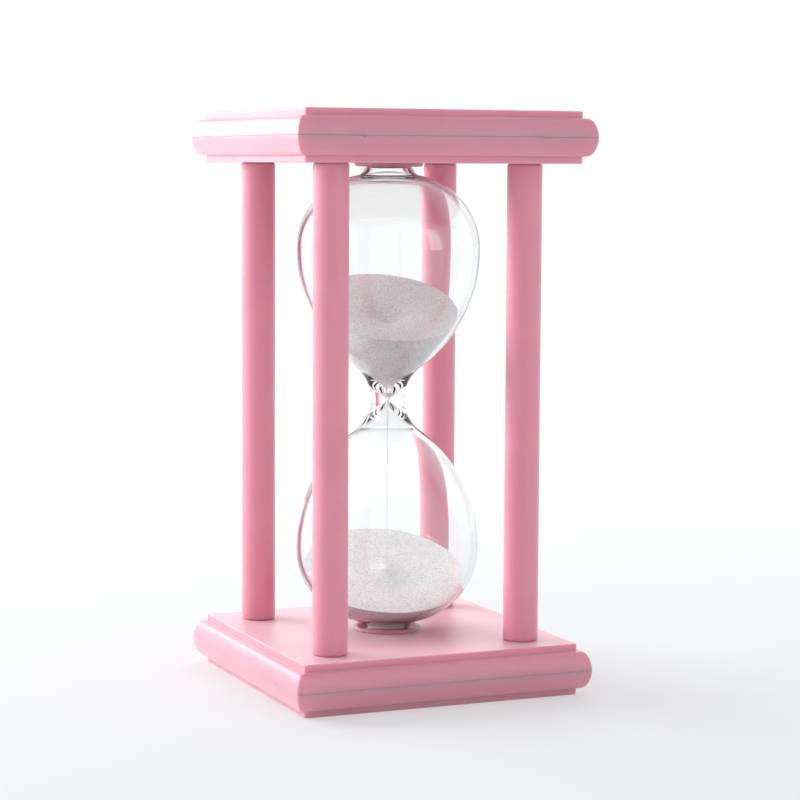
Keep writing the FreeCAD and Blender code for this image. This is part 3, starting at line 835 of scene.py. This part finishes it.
@dataclass
class Collar:
    """Flanged cup let into a plate, with six ribs that centre the foot of the glass."""

    end: End
    material: bpy.types.Material
    flange_radius: float = 9.65
    flange_high: float = 1.0
    rim_round: float = 0.72
    mouth_round: float = 0.6
    barrel_radius: float = 8.9
    mouth_radius: float = 8.2
    depth: float = 6.2
    floor_thick: float = 1.2
    rib_reach: float = 6.76      # from the axis to the face of a rib
    rib_width: float = 5.0
    rib_drop: float = 0.9
    rib_count: int = 6
    segments: int = 360

    def ribs(self) -> Table:
        """How far the ribs stand in at each angle, from 0 between ribs to 1 on a rib.

        The angle is folded to the nearest rib, and a smooth step falls from 1 to 0 over the
        flank, which stands half a rib's width from its middle.
        """
        angle = np.linspace(0.0, 2.0 * math.pi, self.segments, endpoint=False)
        pitch = 2.0 * math.pi / self.rib_count
        off = np.abs((angle + pitch / 2.0) % pitch - pitch / 2.0)
        flank = math.asin(self.rib_width / 2.0 / (self.rib_reach + 0.5))
        share = np.clip((flank - off) / math.radians(2.0) + 0.5, 0.0, 1.0)
        return share * share * (3.0 - 2.0 * share)

    def build(self) -> bpy.types.Object:
        """Make the collar."""
        face = box_mm("bottom_inner_shell")[1].z
        rim = face + self.flange_high
        floor = face - self.depth + self.floor_thick
        rib_top = rim - self.rib_drop
        path = Outline(0.0, face - self.depth).line(self.barrel_radius - 0.4, face - self.depth)
        path.line(self.barrel_radius, face - self.depth + 0.4)
        path.line(self.barrel_radius, face).line(self.flange_radius, face)
        path.line(self.flange_radius, rim - self.rim_round)
        path.arc(self.flange_radius - self.rim_round, rim, self.rim_round, Bulge.RIGHT, 9)
        path.line(self.mouth_radius + self.mouth_round, rim)
        path.arc(self.mouth_radius, rim - self.mouth_round, self.mouth_round, Bulge.RIGHT, 8)
        path.line(self.mouth_radius, rib_top)
        outside = revolve(path.points(), self.segments).points
        reach = self.mouth_radius - self.rib_reach
        stand = np.array([0.0, 0.8, 0.93, 1.0, 1.0, 1.0])
        heights = np.array([rib_top, rib_top, rib_top - 0.08, rib_top - 0.25,
                            (rib_top + floor) / 2.0, floor])
        radius = self.mouth_radius - reach * stand[:, None] * self.ribs()
        angle = np.linspace(0.0, 2.0 * math.pi, self.segments, endpoint=False)
        high = np.broadcast_to(heights[:, None], radius.shape)
        inside = np.stack([radius * np.cos(angle), radius * np.sin(angle), high], -1)
        middle = np.zeros((1, self.segments, 3))
        middle[..., 2] = floor
        points = np.concatenate([outside, inside, middle])
        word = "lower_collar" if self.end is End.BOTTOM else "upper_collar"
        if self.end is End.TOP:
            points = upside_down(points, box_mm("top_cover")[1].z)
        return Piece(word + "_cup", word, "frame", "collar_plastic", self.material, 34.0).make(
            [Lattice(points)])


@dataclass
class FootPad:
    """Soft disc between the floor of a collar and the foot of the glass."""

    node: str
    material: bpy.types.Material
    edge_round: float = 0.35
    dent: float = 0.12           # how far its middle is pressed in
    tightness: float = 0.9

    def build(self) -> None:
        """Make the disc: a turned form with rounded edges and a shallow dent in each face."""
        low, high = box_mm(self.node)
        radius, edge = high.x, self.edge_round
        path = Outline(0.0, low.z + self.dent).line(radius * 0.45, low.z + self.dent, 3)
        path.line(radius * 0.6, low.z).line(radius - edge, low.z)
        path.arc(radius, low.z + edge, edge, Bulge.RIGHT, 4).line(radius, high.z - edge)
        path.arc(radius - edge, high.z, edge, Bulge.RIGHT, 4)
        path.line(radius * 0.6, high.z).line(radius * 0.45, high.z - self.dent)
        path.line(0.0, high.z - self.dent, 3)
        disc = Piece(self.node + "_disc", self.node, "frame", "pad_foam", self.material).make(
            [revolve(path.points(), 64)])


@dataclass
class Fasteners:
    """The four self-tapping screws and washers hidden in one plate."""

    end: End
    material: bpy.types.Material
    shank: float = 1.3
    core: float = 0.95
    thread_pitch: float = 1.0
    head_crown: float = 0.75
    cross_width: float = 0.38
    cross_reach: float = 1.3
    cross_depth: float = 0.7
    segments: int = 48

    def screw(self, head: float, seat: float, tip: float, head_radius: float) -> Table:
        """One screw about the axis, head down.

        The thread is a ridge whose height follows a triangle wave of height / pitch less
        angle / full turn, fading out at the tip and under the head. The cross recess pushes
        the head's face in wherever a point lies within the width of either of its bars.

        Args:
            head: Height of the crown of the head.
            seat: Height of the underside of the head.
            tip: Height of the point.
            head_radius: Radius of the head.

        Returns:
            Points as rows x segments x 3.
        """
        crown = self.head_crown
        top = Outline(0.0, head).line(head_radius - crown, head, 12)
        top.arc(head_radius, head + crown, crown, Bulge.RIGHT, 5)
        top.line(head_radius, seat).line(self.shank, seat)
        cap = revolve(top.points(), self.segments).points
        within = np.hypot(cap[..., 0], cap[..., 1]) < self.cross_reach
        bar = np.minimum(np.abs(cap[..., 0]), np.abs(cap[..., 1])) < self.cross_width
        cap[..., 2] += np.where(within & bar & (cap[..., 2] < head + 0.1), self.cross_depth, 0.0)
        height = np.linspace(seat + 0.2, tip, 90)[:, None]
        angle = np.linspace(0.0, 2.0 * math.pi, self.segments, endpoint=False)
        phase = (height / self.thread_pitch - angle / (2.0 * math.pi)) % 1.0
        ridge = np.clip(1.0 - np.abs(phase - 0.5) * 3.2, 0.0, 1.0)
        taper = np.clip((tip - height) / 1.6, 0.0, 1.0)
        radius = (self.core + (self.shank - self.core) * ridge) * taper
        z = np.broadcast_to(height, radius.shape)
        thread = np.stack([radius * np.cos(angle), radius * np.sin(angle), z], -1)
        return np.concatenate([cap, thread])

    def corners(self) -> list[tuple[float, float]]:
        """X and Y of the four pillars."""
        away = sum(side.x for side in box_mm("pillar_front_right")) / 2.0
        return [(x, y) for x in (-away, away) for y in (-away, away)]

    def build(self) -> None:
        """Make the screws and the washers of this end."""
        word = self.end.value
        total = box_mm("top_cover")[1].z
        low, high = box_mm("bottom_pillar_screws")
        under, over = box_mm("bottom_screw_washers")
        away = self.corners()[-1][0]
        washer = over.x - away
        bore = self.shank + 0.1
        ring = Outline(bore, under.z).line(washer - 0.1, under.z)
        ring.line(washer, under.z + 0.1).line(washer, over.z - 0.1)
        ring.line(washer - 0.1, over.z).line(bore, over.z)
        screw = self.screw(low.z, under.z, high.z, high.x - away)
        screws, washers = [], []
        for x, y in self.corners():
            moved = screw + np.array([x, y, 0.0])
            flat = revolve(ring.points(), 40, (x, y)).points
            if self.end is End.TOP:
                moved, flat = upside_down(moved, total), upside_down(flat, total)
            screws.append(Lattice(moved))
            washers.append(Lattice(flat, ring_rows=True))
        Piece(word + "_screws", word + "_pillar_screws", "frame", "screw_steel",
              self.material).make(screws)
        Piece(word + "_washers", word + "_screw_washers", "frame", "screw_steel",
              self.material).make(washers)


# ---------------------------------------------------------------- glass and sand

@dataclass
class BulbShape:
    """Outline of the glass from its waist to one foot, with heights counted from the waist."""

    waist_radius: float = 4.73
    waist_arc: float = 11.16
    bulb_middle: float = 42.0
    dome_arc: float = 21.2
    crown_arc: float = 44.0
    wall: float = 1.1
    bore: float = 0.5
    funnel_angle: float = 44.0
    foot_bore: float = 5.2
    foot_round: float = 2.6

    def __post_init__(self) -> None:
        """Read the glass's sizes from the frame and work out the arcs' centres."""
        low, high = box_mm("glass")
        self.radius = high.x
        self.waist = frame["joints"][0]["pos_m"][2] / MM
        self.foot_end = high.z - self.waist
        self.foot_radius = box_mm("lower_stopper")[1].x + 0.05 + 1.5
        gap = self.waist_radius + self.waist_arc - self.radius
        top = gap * gap + self.bulb_middle ** 2 - self.waist_arc ** 2
        self.neck = top / (2.0 * (self.waist_arc - gap))
        self.neck_x = self.radius - self.neck
        self.dome_x = self.radius - self.dome_arc
        self.spread = self.crown_arc - self.dome_arc
        drop = math.sqrt(self.spread ** 2 - self.dome_x ** 2)
        self.crown_h = self.bulb_middle - drop
        self.drop = drop

    def crown_at(self, distance: float, gap: float) -> float:
        """Height of the crown at a distance from the axis, this far inside the glass."""
        return self.crown_h + math.sqrt((self.crown_arc - gap) ** 2 - distance * distance)

    def joint(self, gap: float) -> tuple[float, float]:
        """Where the dome's arc turns into the crown's, this far inside the glass."""
        scale = (self.crown_arc - gap) / self.spread
        return self.dome_x * scale, self.crown_h + self.drop * scale

    def outside(self) -> Outline:
        """Outer surface from the waist up to the end of a foot."""
        share = self.waist_arc / (self.waist_arc + self.neck)
        waist_x = self.waist_radius + self.waist_arc
        path = Outline(self.waist_radius, 0.0)
        path.arc(waist_x + (self.neck_x - waist_x) * share, self.bulb_middle * share,
                 self.waist_arc, Bulge.LEFT, 26)
        path.arc(self.radius, self.bulb_middle, self.neck, Bulge.RIGHT, 44)
        path.arc(*self.joint(0.0), self.dome_arc, Bulge.RIGHT, 30)
        foot = self.foot_radius + self.foot_round
        path.arc(foot, self.crown_at(foot, 0.0), self.crown_arc, Bulge.RIGHT, 16)
        path.arc(self.foot_radius, self.crown_at(foot, 0.0) + self.foot_round, self.foot_round,
                 Bulge.LEFT, 12)
        path.line(self.foot_radius, self.foot_end - 0.35, 3)
        path.arc(self.foot_radius - 0.35, self.foot_end, 0.35, Bulge.RIGHT, 4)
        return path

    def inside(self, gap: float, bore: float, foot_bore: float, foot_h: float) -> Outline:
        """Surface this far inside the glass, from the bore along the funnel into a foot.

        Where the crown turns into the foot it flares over an arc that ends upright on the
        foot's bore: its radius is (across squared + rise squared) / (2 x across).

        Args:
            gap: Distance from the outer surface.
            bore: Radius of the hole through the waist.
            foot_bore: Radius of the hole through the foot.
            foot_h: Height at which the flare ends on it.

        Returns:
            The outline.
        """
        angle = math.radians(self.funnel_angle)
        neck = self.neck - gap
        cone_x = self.neck_x + neck * math.cos(angle)
        cone_h = self.bulb_middle - neck * math.sin(angle)
        path = Outline(bore, cone_h - (cone_x - bore) / math.tan(angle))
        path.line(cone_x, cone_h, 18)
        path.arc(self.radius - gap, self.bulb_middle, neck, Bulge.RIGHT, 36)
        path.arc(*self.joint(gap), self.dome_arc - gap, Bulge.RIGHT, 30)
        foot = self.foot_radius + self.foot_round
        path.arc(foot, self.crown_at(foot, gap), self.crown_arc - gap, Bulge.RIGHT, 12)
        across = foot - foot_bore
        rise = foot_h - self.crown_at(foot, gap)
        flare = (across * across + rise * rise) / (2.0 * across)
        path.arc(foot_bore, foot_h, flare, Bulge.LEFT, 14)
        return path


def mirrored(path: Table) -> Table:
    """Mirror a path under the waist and turn its direction round."""
    return (path * np.array([1.0, -1.0]))[::-1]


@dataclass
class GlassTimer:
    """The blown double bulb and the plugs that close its feet."""

    shape: BulbShape
    glass: bpy.types.Material
    rubber: bpy.types.Material
    segments: int = 168

    def build(self) -> None:
        """Make the bulb and its two plugs.

        The bulb's wall is one closed path turned round the axis: up the outside of the upper
        half, over the end of its foot, down its inside to the waist, and the same in the lower
        half the other way up.
        """
        shape = self.shape
        lip = 0.35
        half = shape.outside()
        half.line(shape.foot_bore + lip, shape.foot_end)
        half.arc(shape.foot_bore, shape.foot_end - lip, lip, Bulge.RIGHT, 4)
        flare_end = shape.crown_at(shape.foot_radius + shape.foot_round, 0.0) + shape.foot_round
        inside = shape.inside(shape.wall, shape.bore, shape.foot_bore, flare_end).points()
        upper = np.concatenate([half.points(), inside[::-1]])
        path = np.concatenate([upper, mirrored(upper)[:-1]])
        path[:, 1] += shape.waist
        Piece("double_bulb", "glass", "glass_timer", "clear_glass", self.glass, 50.0).make(
            [Lattice(revolve(path, self.segments).points, ring_rows=True)])
        self.plug(End.BOTTOM)
        self.plug(End.TOP)

    def plug(self, end: End) -> None:
        """Make the plug of one foot, with a shallow dish in its outer end."""
        word = "lower" if end is End.BOTTOM else "upper"
        low, high = box_mm(word + "_stopper")
        radius, tall = high.x, high.z - low.z
        side = Outline(0.0, 0.3).line(radius * 0.5, 0.3, 2).line(radius * 0.55, 0.0)
        side.line(radius - 0.3, 0.0).arc(radius, 0.3, 0.3, Bulge.RIGHT, 4)
        side.line(radius, tall - 0.2, 3).line(radius - 0.2, tall).line(0.0, tall, 3)
        path = side.points()
        if end is End.TOP:
            path = mirrored(path) + np.array([0.0, tall])
        path[:, 1] += low.z
        Piece(word + "_plug", word + "_stopper", "glass_timer", "stopper_rubber",
              self.rubber).make([revolve(path, 56)])


@dataclass
class SandHeap:
    """The sand of one bulb: its side follows the glass, its top is a sloping rough face.

    The top is a plane, tilted because the timer was set down askew, with a feature on the
    axis: a crater where sand runs out, or a mound where it lands.
    """

    shape: BulbShape
    material: bpy.types.Material
    node: str
    level: float                 # height of the plane on the axis
    feature_radius: float
    feature_rise: float          # up for a mound, down for a crater
    seed: int
    tilt: float = 21.9
    heading: float = -8.9        # of the level line across the slope, from +X
    clearance: float = 0.06
    neck_reach: float = 3.5      # height above the waist up to which grains press on the glass
    grain_high: float = 0.10
    columns: int = 384
    rows: int = 74

    def wall(self) -> Table:
        """Path up the inside of the bulb, from its lowest point on the axis."""
        gap = self.shape.wall + self.clearance
        bore = self.shape.bore - self.clearance
        foot_bore = self.shape.foot_bore - self.clearance
        plug = self.shape.waist - box_mm("lower_stopper")[1].z - self.clearance
        path = self.shape.inside(gap, bore, foot_bore, plug).points()
        if self.feature_rise < 0.0:
            press = np.clip(1.0 - path[:, 1] / self.neck_reach, 0.0, 1.0)
            path[:, 1] -= press * 4.0 * self.clearance
            floor = [[0.0, path[0, 1]]]
        else:
            path = mirrored(path)
            floor = [[0.0, -plug]]
        path = np.concatenate([floor, path])
        path[:, 1] += self.shape.waist
        return path

    def top(self, x: Table, y: Table) -> Table:
        """Height of the top at each place, without its grains.

        The plane rises by the tangent of the tilt across its level line. The feature is a
        smooth hump or dip: its rise times the bell exp(-(distance / radius) ** 2 * 2).
        """
        heading = math.radians(self.heading)
        across = y * math.cos(heading) - x * math.sin(heading)
        far = (x * x + y * y) / self.feature_radius ** 2
        return (self.level + math.tan(math.radians(self.tilt)) * across
                + self.feature_rise * np.exp(-far * 2.0))

    def build(self) -> None:
        """Make the heap.

        Round each angle the wall's path is followed up to where it meets the sloping top: the
        crossing is found by straight interpolation between the last point of the path under
        the top and the next. Even steps along the path below it give the side, and even steps
        from the rim to the axis give the top, raised by seeded grains that fade at the rim.
        """
        wall = self.wall()
        angle = np.linspace(0.0, 2.0 * math.pi, self.columns, endpoint=False)
        fine = np.linspace(0.0, len(wall) - 1.0, 4000)
        order = np.arange(len(wall))
        radius = np.interp(fine, order, wall[:, 0])[:, None]
        height = np.interp(fine, order, wall[:, 1])[:, None]
        above = height - self.top(radius * np.cos(angle), radius * np.sin(angle))
        step = np.argmax(above > 0.0, axis=0)
        pick = np.arange(self.columns)
        last, over = above[step - 1, pick], above[step, pick]
        end = fine[step - 1] + (fine[step] - fine[step - 1]) * last / (last - over)
        share = np.linspace(0.0, 1.0, self.rows)[:, None] * end
        side_r = np.interp(share, order, wall[:, 0])
        side_z = np.interp(share, order, wall[:, 1])
        fall = np.linspace(1.0, 0.0, self.rows)[1:, None]
        top_r = side_r[-1] * fall
        x, y = top_r * np.cos(angle), top_r * np.sin(angle)
        rough = np.random.default_rng(self.seed).normal(0.0, 1.0, x.shape)
        edge = np.clip((1.0 - fall) * 12.0, 0.0, 1.0) * np.clip(fall * 6.0, 0.0, 1.0)
        top_z = self.top(x, y) + np.clip(rough, -2.0, 2.0) * self.grain_high / 2.0 * edge
        side = np.stack([side_r * np.cos(angle), side_r * np.sin(angle), side_z], -1)
        points = np.concatenate([side, np.stack([x, y, top_z], -1)])
        Piece(self.node + "_heap", self.node, "glass_timer", "white_sand", self.material,
              44.0).make([Lattice(points)])


@dataclass
class SandStream:
    """The falling grains: small eight-faced stones strung out down the axis."""

    material: bpy.types.Material
    count: int = 420
    grain: float = 0.15          # radius of a grain
    spread: float = 0.11
    seed: int = 11

    def build(self) -> None:
        """Make the grains.

        A grain's depth below the bore grows with the square of its time, so that the string
        thins out as it speeds up; half of the even spacing is kept near the top. Each grain
        is a sphere of two rows of four points and two poles, jittered to one side.
        """
        low, high = box_mm("sand_stream")
        dice = np.random.default_rng(self.seed)
        time = np.linspace(0.0, 1.0, self.count)
        depth = 0.55 * time + 0.45 * time * time
        z = high.z - self.grain - (high.z - low.z - 2.0 * self.grain) * depth
        side = np.clip(dice.normal(0.0, self.spread, (self.count, 2)), -0.25, 0.25)
        size = self.grain * dice.uniform(0.6, 1.0, self.count)
        stone = revolve(np.array([[0.0, -1.0], [0.9, -0.35], [0.9, 0.35], [0.0, 1.0]]), 5).points
        centre = np.concatenate([side, z[:, None]], 1)
        grains = stone[None] * size[:, None, None, None] + centre[:, None, None, :]
        Piece("falling_grains", "sand_stream", "glass_timer", "white_sand", self.material,
              180.0).make([Lattice(points) for points in grains])


# ---------------------------------------------------------------- studio

@dataclass
class Lamp:
    """A softbox that looks at the object.

    Attributes:
        name: Name of the lamp.
        bearing: Degrees round from the front, towards the left.
        elevation: Degrees above the table.
        distance: Metres from the middle of the object.
        size: Width and height in metres.
        radiance: Brightness of its face.
        colour: Colour of its face.
        shows: Whether glossy surfaces mirror it.
        lights: Whether it lights dull surfaces.
    """

    name: str
    bearing: float
    elevation: float
    distance: float
    size: tuple[float, float]
    radiance: float
    colour: str = "#FFFFFF"
    shows: bool = True
    lights: bool = True

    def build(self, target: Vector) -> None:
        """Make the lamp, whose own face the camera never sees."""
        turn, rise = math.radians(self.bearing), math.radians(self.elevation)
        back = Vector((-math.sin(turn) * math.cos(rise), -math.cos(turn) * math.cos(rise),
                       math.sin(rise)))
        data = bpy.data.lights.new(self.name, "AREA")
        data.shape = "RECTANGLE"
        data.size, data.size_y = self.size
        data.energy = self.radiance * math.pi * self.size[0] * self.size[1]
        data.color = linear(self.colour)[:3]
        lamp = bpy.data.objects.new(self.name, data)
        lamp.rotation_euler = back.to_track_quat("Z", "Y").to_euler()
        lamp.location = target + back * self.distance
        lamp.visible_camera = False
        lamp.visible_transmission = False
        lamp.visible_glossy = self.shows
        lamp.visible_diffuse = self.lights
        bpy.context.scene.collection.objects.link(lamp)
        log.info("lamp %s", self.name)


@dataclass
class Studio:
    """Plain pale floor, white surroundings, soft lamps and the camera."""

    floor_half: float = 60.0             # metres
    floor_seen: str = "#AFB2B3"          # its own colour for the camera, lit on top of the glow
    floor_lit: str = "#EDEEEE"           # the colour that it throws back at the object
    # painted shade: the lower glow beside the object greys the paper there; its rise with
    # distance also makes up for the lamps' falloff
    floor_glow_with_painted_shade: tuple[float, float] = (0.44, 0.80)   # beside the object, and far from it
    glow_reach: tuple[float, float] = (0.15, 1.5)    # metres
    # painted light: a glow on the paper, seen in gloss alone, standing in for the left window's
    # light on it
    glare: float = 2.6                   # of the left window on the paper, seen in gloss alone
    glare_reach: float = 0.19            # metres from the middle of the object
    glare_slope: float = 0.16            # half width for each metre of distance
    ambient: float = 0.60
    ambient_colour: str = "#FAFBFF"
    lens: float = 109.6
    camera_place: tuple[float, float, float] = (-264.7, -629.5, 145.2)
    yaw: float = 23.10
    pitch: float = 5.505
    roll: float = 0.303

    def seen_rays(self, tree: bpy.types.NodeTree) -> bpy.types.NodeSocket:
        """1 for rays from the camera, from gloss or through glass, and 0 for all others."""
        ray = add_node(tree, "ShaderNodeLightPath").outputs
        first = calculate(tree, "MAXIMUM", ray["Is Camera Ray"], ray["Is Glossy Ray"])
        return calculate(tree, "MAXIMUM", first, ray["Is Transmission Ray"])

    def painted_window_glare(self, tree: bpy.types.NodeTree,
                     place: bpy.types.NodeSocket) -> bpy.types.NodeSocket:
        """Brightness of a painted pool of light on the strip of paper left of the object, where
        the left window would shine; it glows for gloss alone.

        The strip runs to the left: -x past the reach, and |y| under the slope times -x.
        """
        spot = add_node(tree, "ShaderNodeSeparateXYZ", {"Vector": place}).outputs
        ray = add_node(tree, "ShaderNodeLightPath").outputs
        left = calculate(tree, "MULTIPLY", spot["X"], -1.0)
        wide = calculate(tree, "MULTIPLY", left, self.glare_slope)
        off = calculate(tree, "ABSOLUTE", spot["Y"])
        past = calculate(tree, "GREATER_THAN", left, self.glare_reach)
        within = calculate(tree, "LESS_THAN", off, wide)
        strip = calculate(tree, "MULTIPLY", past, within)
        shown = calculate(tree, "MULTIPLY", strip, ray["Is Glossy Ray"])
        return calculate(tree, "MULTIPLY", shown, self.glare)

    def floor(self) -> None:
        """Lay a wide floor of seamless white paper, matt and very finely toothed.

        Where it is seen it glows as the cut-out white of a light table would, and its own
        diffuse part on top of that still takes the object's shadow. The glow is lower beside the
        object than far from it: partly to make up for the lamps' falloff, and partly as painted
        shade that greys the paper round the object.
        """
        material, tree = empty_tree("seamless white paper")
        seen = self.seen_rays(tree)
        place = add_node(tree, "ShaderNodeTexCoord").outputs["Object"]
        tooth = add_node(tree, "ShaderNodeTexNoise", {
            "Vector": place, "Scale": per_metre(1.2), "Detail": 2.0})
        bump = add_node(tree, "ShaderNodeBump", {
            "Height": tooth.outputs["Fac"], "Strength": 0.2, "Distance": 0.02 * MM})
        colour = add_node(tree, "ShaderNodeMix", {
            "Factor": seen, 6: linear(self.floor_lit), 7: linear(self.floor_seen)},
            data_type="RGBA")
        paper = add_node(tree, "ShaderNodeBsdfDiffuse", {
            "Color": colour.outputs[2], "Normal": bump.outputs["Normal"]})
        away = add_node(tree, "ShaderNodeVectorMath", {0: place}, operation="LENGTH")
        # The glow rises from beside the object to far away: painted shade round the object, and
        # a make-up for the lamps' falloff.
        glow_and_shade_sweep = add_node(tree, "ShaderNodeMapRange", {
            "Value": away.outputs["Value"], "From Min": self.glow_reach[0],
            "From Max": self.glow_reach[1], "To Min": self.floor_glow_with_painted_shade[0],
            "To Max": self.floor_glow_with_painted_shade[1]})
        # adds the painted pool of light left of the object, seen in gloss alone
        glow_level = calculate(tree, "MULTIPLY_ADD", seen, glow_and_shade_sweep.outputs["Result"],
                               self.painted_window_glare(tree, place))
        glow = add_node(tree, "ShaderNodeEmission", {
            "Color": linear("#FFFFFF"), "Strength": glow_level})
        both = add_node(tree, "ShaderNodeAddShader", {0: paper.outputs["BSDF"],
                                                      1: glow.outputs["Emission"]})
        add_node(tree, "ShaderNodeOutputMaterial", {"Surface": both.outputs["Shader"]})
        half = self.floor_half
        mesh = bpy.data.meshes.new("floor")
        corners = [(-half, -half, 0.0), (half, -half, 0.0), (half, half, 0.0),
                   (-half, half, 0.0)]
        mesh.from_pydata(corners, [], [(0, 1, 2, 3)])
        mesh.materials.append(material)
        floor = bpy.data.objects.new("floor", mesh)
        bpy.context.scene.collection.objects.link(floor)
        floor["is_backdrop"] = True
        log.info("floor laid")

    def world(self) -> None:
        """White surroundings where they are seen, and a plain ambient light elsewhere."""
        world = bpy.data.worlds.new("studio")
        bpy.context.scene.world = world
        world.use_nodes = True
        tree = world.node_tree
        tree.nodes.clear()
        seen = self.seen_rays(tree)
        level = add_node(tree, "ShaderNodeMapRange", {
            "Value": seen, "To Min": self.ambient, "To Max": 1.0})
        tone = add_node(tree, "ShaderNodeMix", {
            "Factor": seen, 6: linear(self.ambient_colour), 7: linear("#FFFFFF")},
            data_type="RGBA")
        light = add_node(tree, "ShaderNodeBackground", {
            "Color": tone.outputs[2], "Strength": level.outputs["Result"]})
        add_node(tree, "ShaderNodeOutputWorld", {"Surface": light.outputs["Background"]})
        log.info("world made")

    def camera(self) -> None:
        """Stand the camera in front and to the left, a little above, looking slightly down."""
        yaw, pitch, roll = (math.radians(turn) for turn in (self.yaw, self.pitch, self.roll))
        ahead = Vector((math.sin(yaw) * math.cos(pitch), math.cos(yaw) * math.cos(pitch),
                        -math.sin(pitch)))
        level = Vector((math.cos(yaw), -math.sin(yaw), 0.0))
        above = level.cross(ahead)
        right = level * math.cos(roll) + above * math.sin(roll)
        up = above * math.cos(roll) - level * math.sin(roll)
        data = bpy.data.cameras.new("camera")
        data.lens = self.lens
        data.sensor_width = 36.0
        data.clip_start, data.clip_end = 0.01, 200.0
        camera = bpy.data.objects.new("camera", data)
        turn = Matrix((right, up, -ahead)).transposed().to_4x4()
        camera.matrix_world = Matrix.Translation(Vector(self.camera_place) * MM) @ turn
        bpy.context.scene.collection.objects.link(camera)
        bpy.context.scene.camera = camera
        log.info("camera placed")

    def build(self, target: Vector) -> None:
        """Make the floor, the world, the camera and the lamps.

        Args:
            target: The middle of the object, at which the lamps look.
        """
        self.floor()
        self.world()
        self.camera()
        lamps = [
            Lamp("back_left_window", 139.0, 16.0, 1.0, (1.00, 0.34), 6.5),
            Lamp("back_left_skylight", 139.0, 15.0, 1.0, (1.00, 0.34), 5.5, shows=False),
            Lamp("left_window", 88.0, 28.0, 1.1, (0.35, 0.78), 5.0, lights=False),
            Lamp("back_right_reflector", 212.0, 30.0, 1.2, (1.00, 0.50), 3.0),
            Lamp("front_right_reflector", -28.0, 18.0, 1.2, (0.90, 0.70), 0.75),
        ]
        for lamp in lamps:
            lamp.build(target)
        bpy.context.scene.view_settings.view_transform = "Standard"


def main() -> None:
    """Build every sub-assembly in order."""
    logging.basicConfig(level=logging.INFO, format="%(message)s")
    cad_low, cad_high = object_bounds()
    pink = MouldedAbs("pastel pink moulded ABS", "#E497AB", "#E89CAF", 0.38).build()
    deep_pink = MouldedAbs("deep pink moulded ABS", "#EC8396", "#F08F9F", 0.24,
                           let_in=0.85, light_reach=9.0).build()
    foam = CellPadding("die-cut foam", "#E9E4DC", "#C9C2B8", 0.35, 0.08, 0.9).build()
    gum = CellPadding("red gum rubber", "#D98A88", "#CF7F7E", 0.9, 0.005, 0.45).build()
    steel = ZincPlate().build()
    sand = QuartzSand().build()
    for end in End:
        EndPlate(end, pink).build()
        Collar(end, deep_pink).build()
        Fasteners(end, steel).build()
    Pillars(pink).build()
    FootPad("lower_pad", foam).build()
    FootPad("upper_pad", foam).build()
    shape = BulbShape()
    GlassTimer(shape, BlownGlass().build(), gum).build()
    SandHeap(shape, sand, "sand_upper", 104.3, 6.5, -3.0, 3).build()
    SandHeap(shape, sand, "sand_lower", 29.4, 6.0, 1.8, 5).build()
    SandStream(sand).build()
    Studio().build((cad_low + cad_high) / 2.0)


if __name__ == "__main__":
    main()
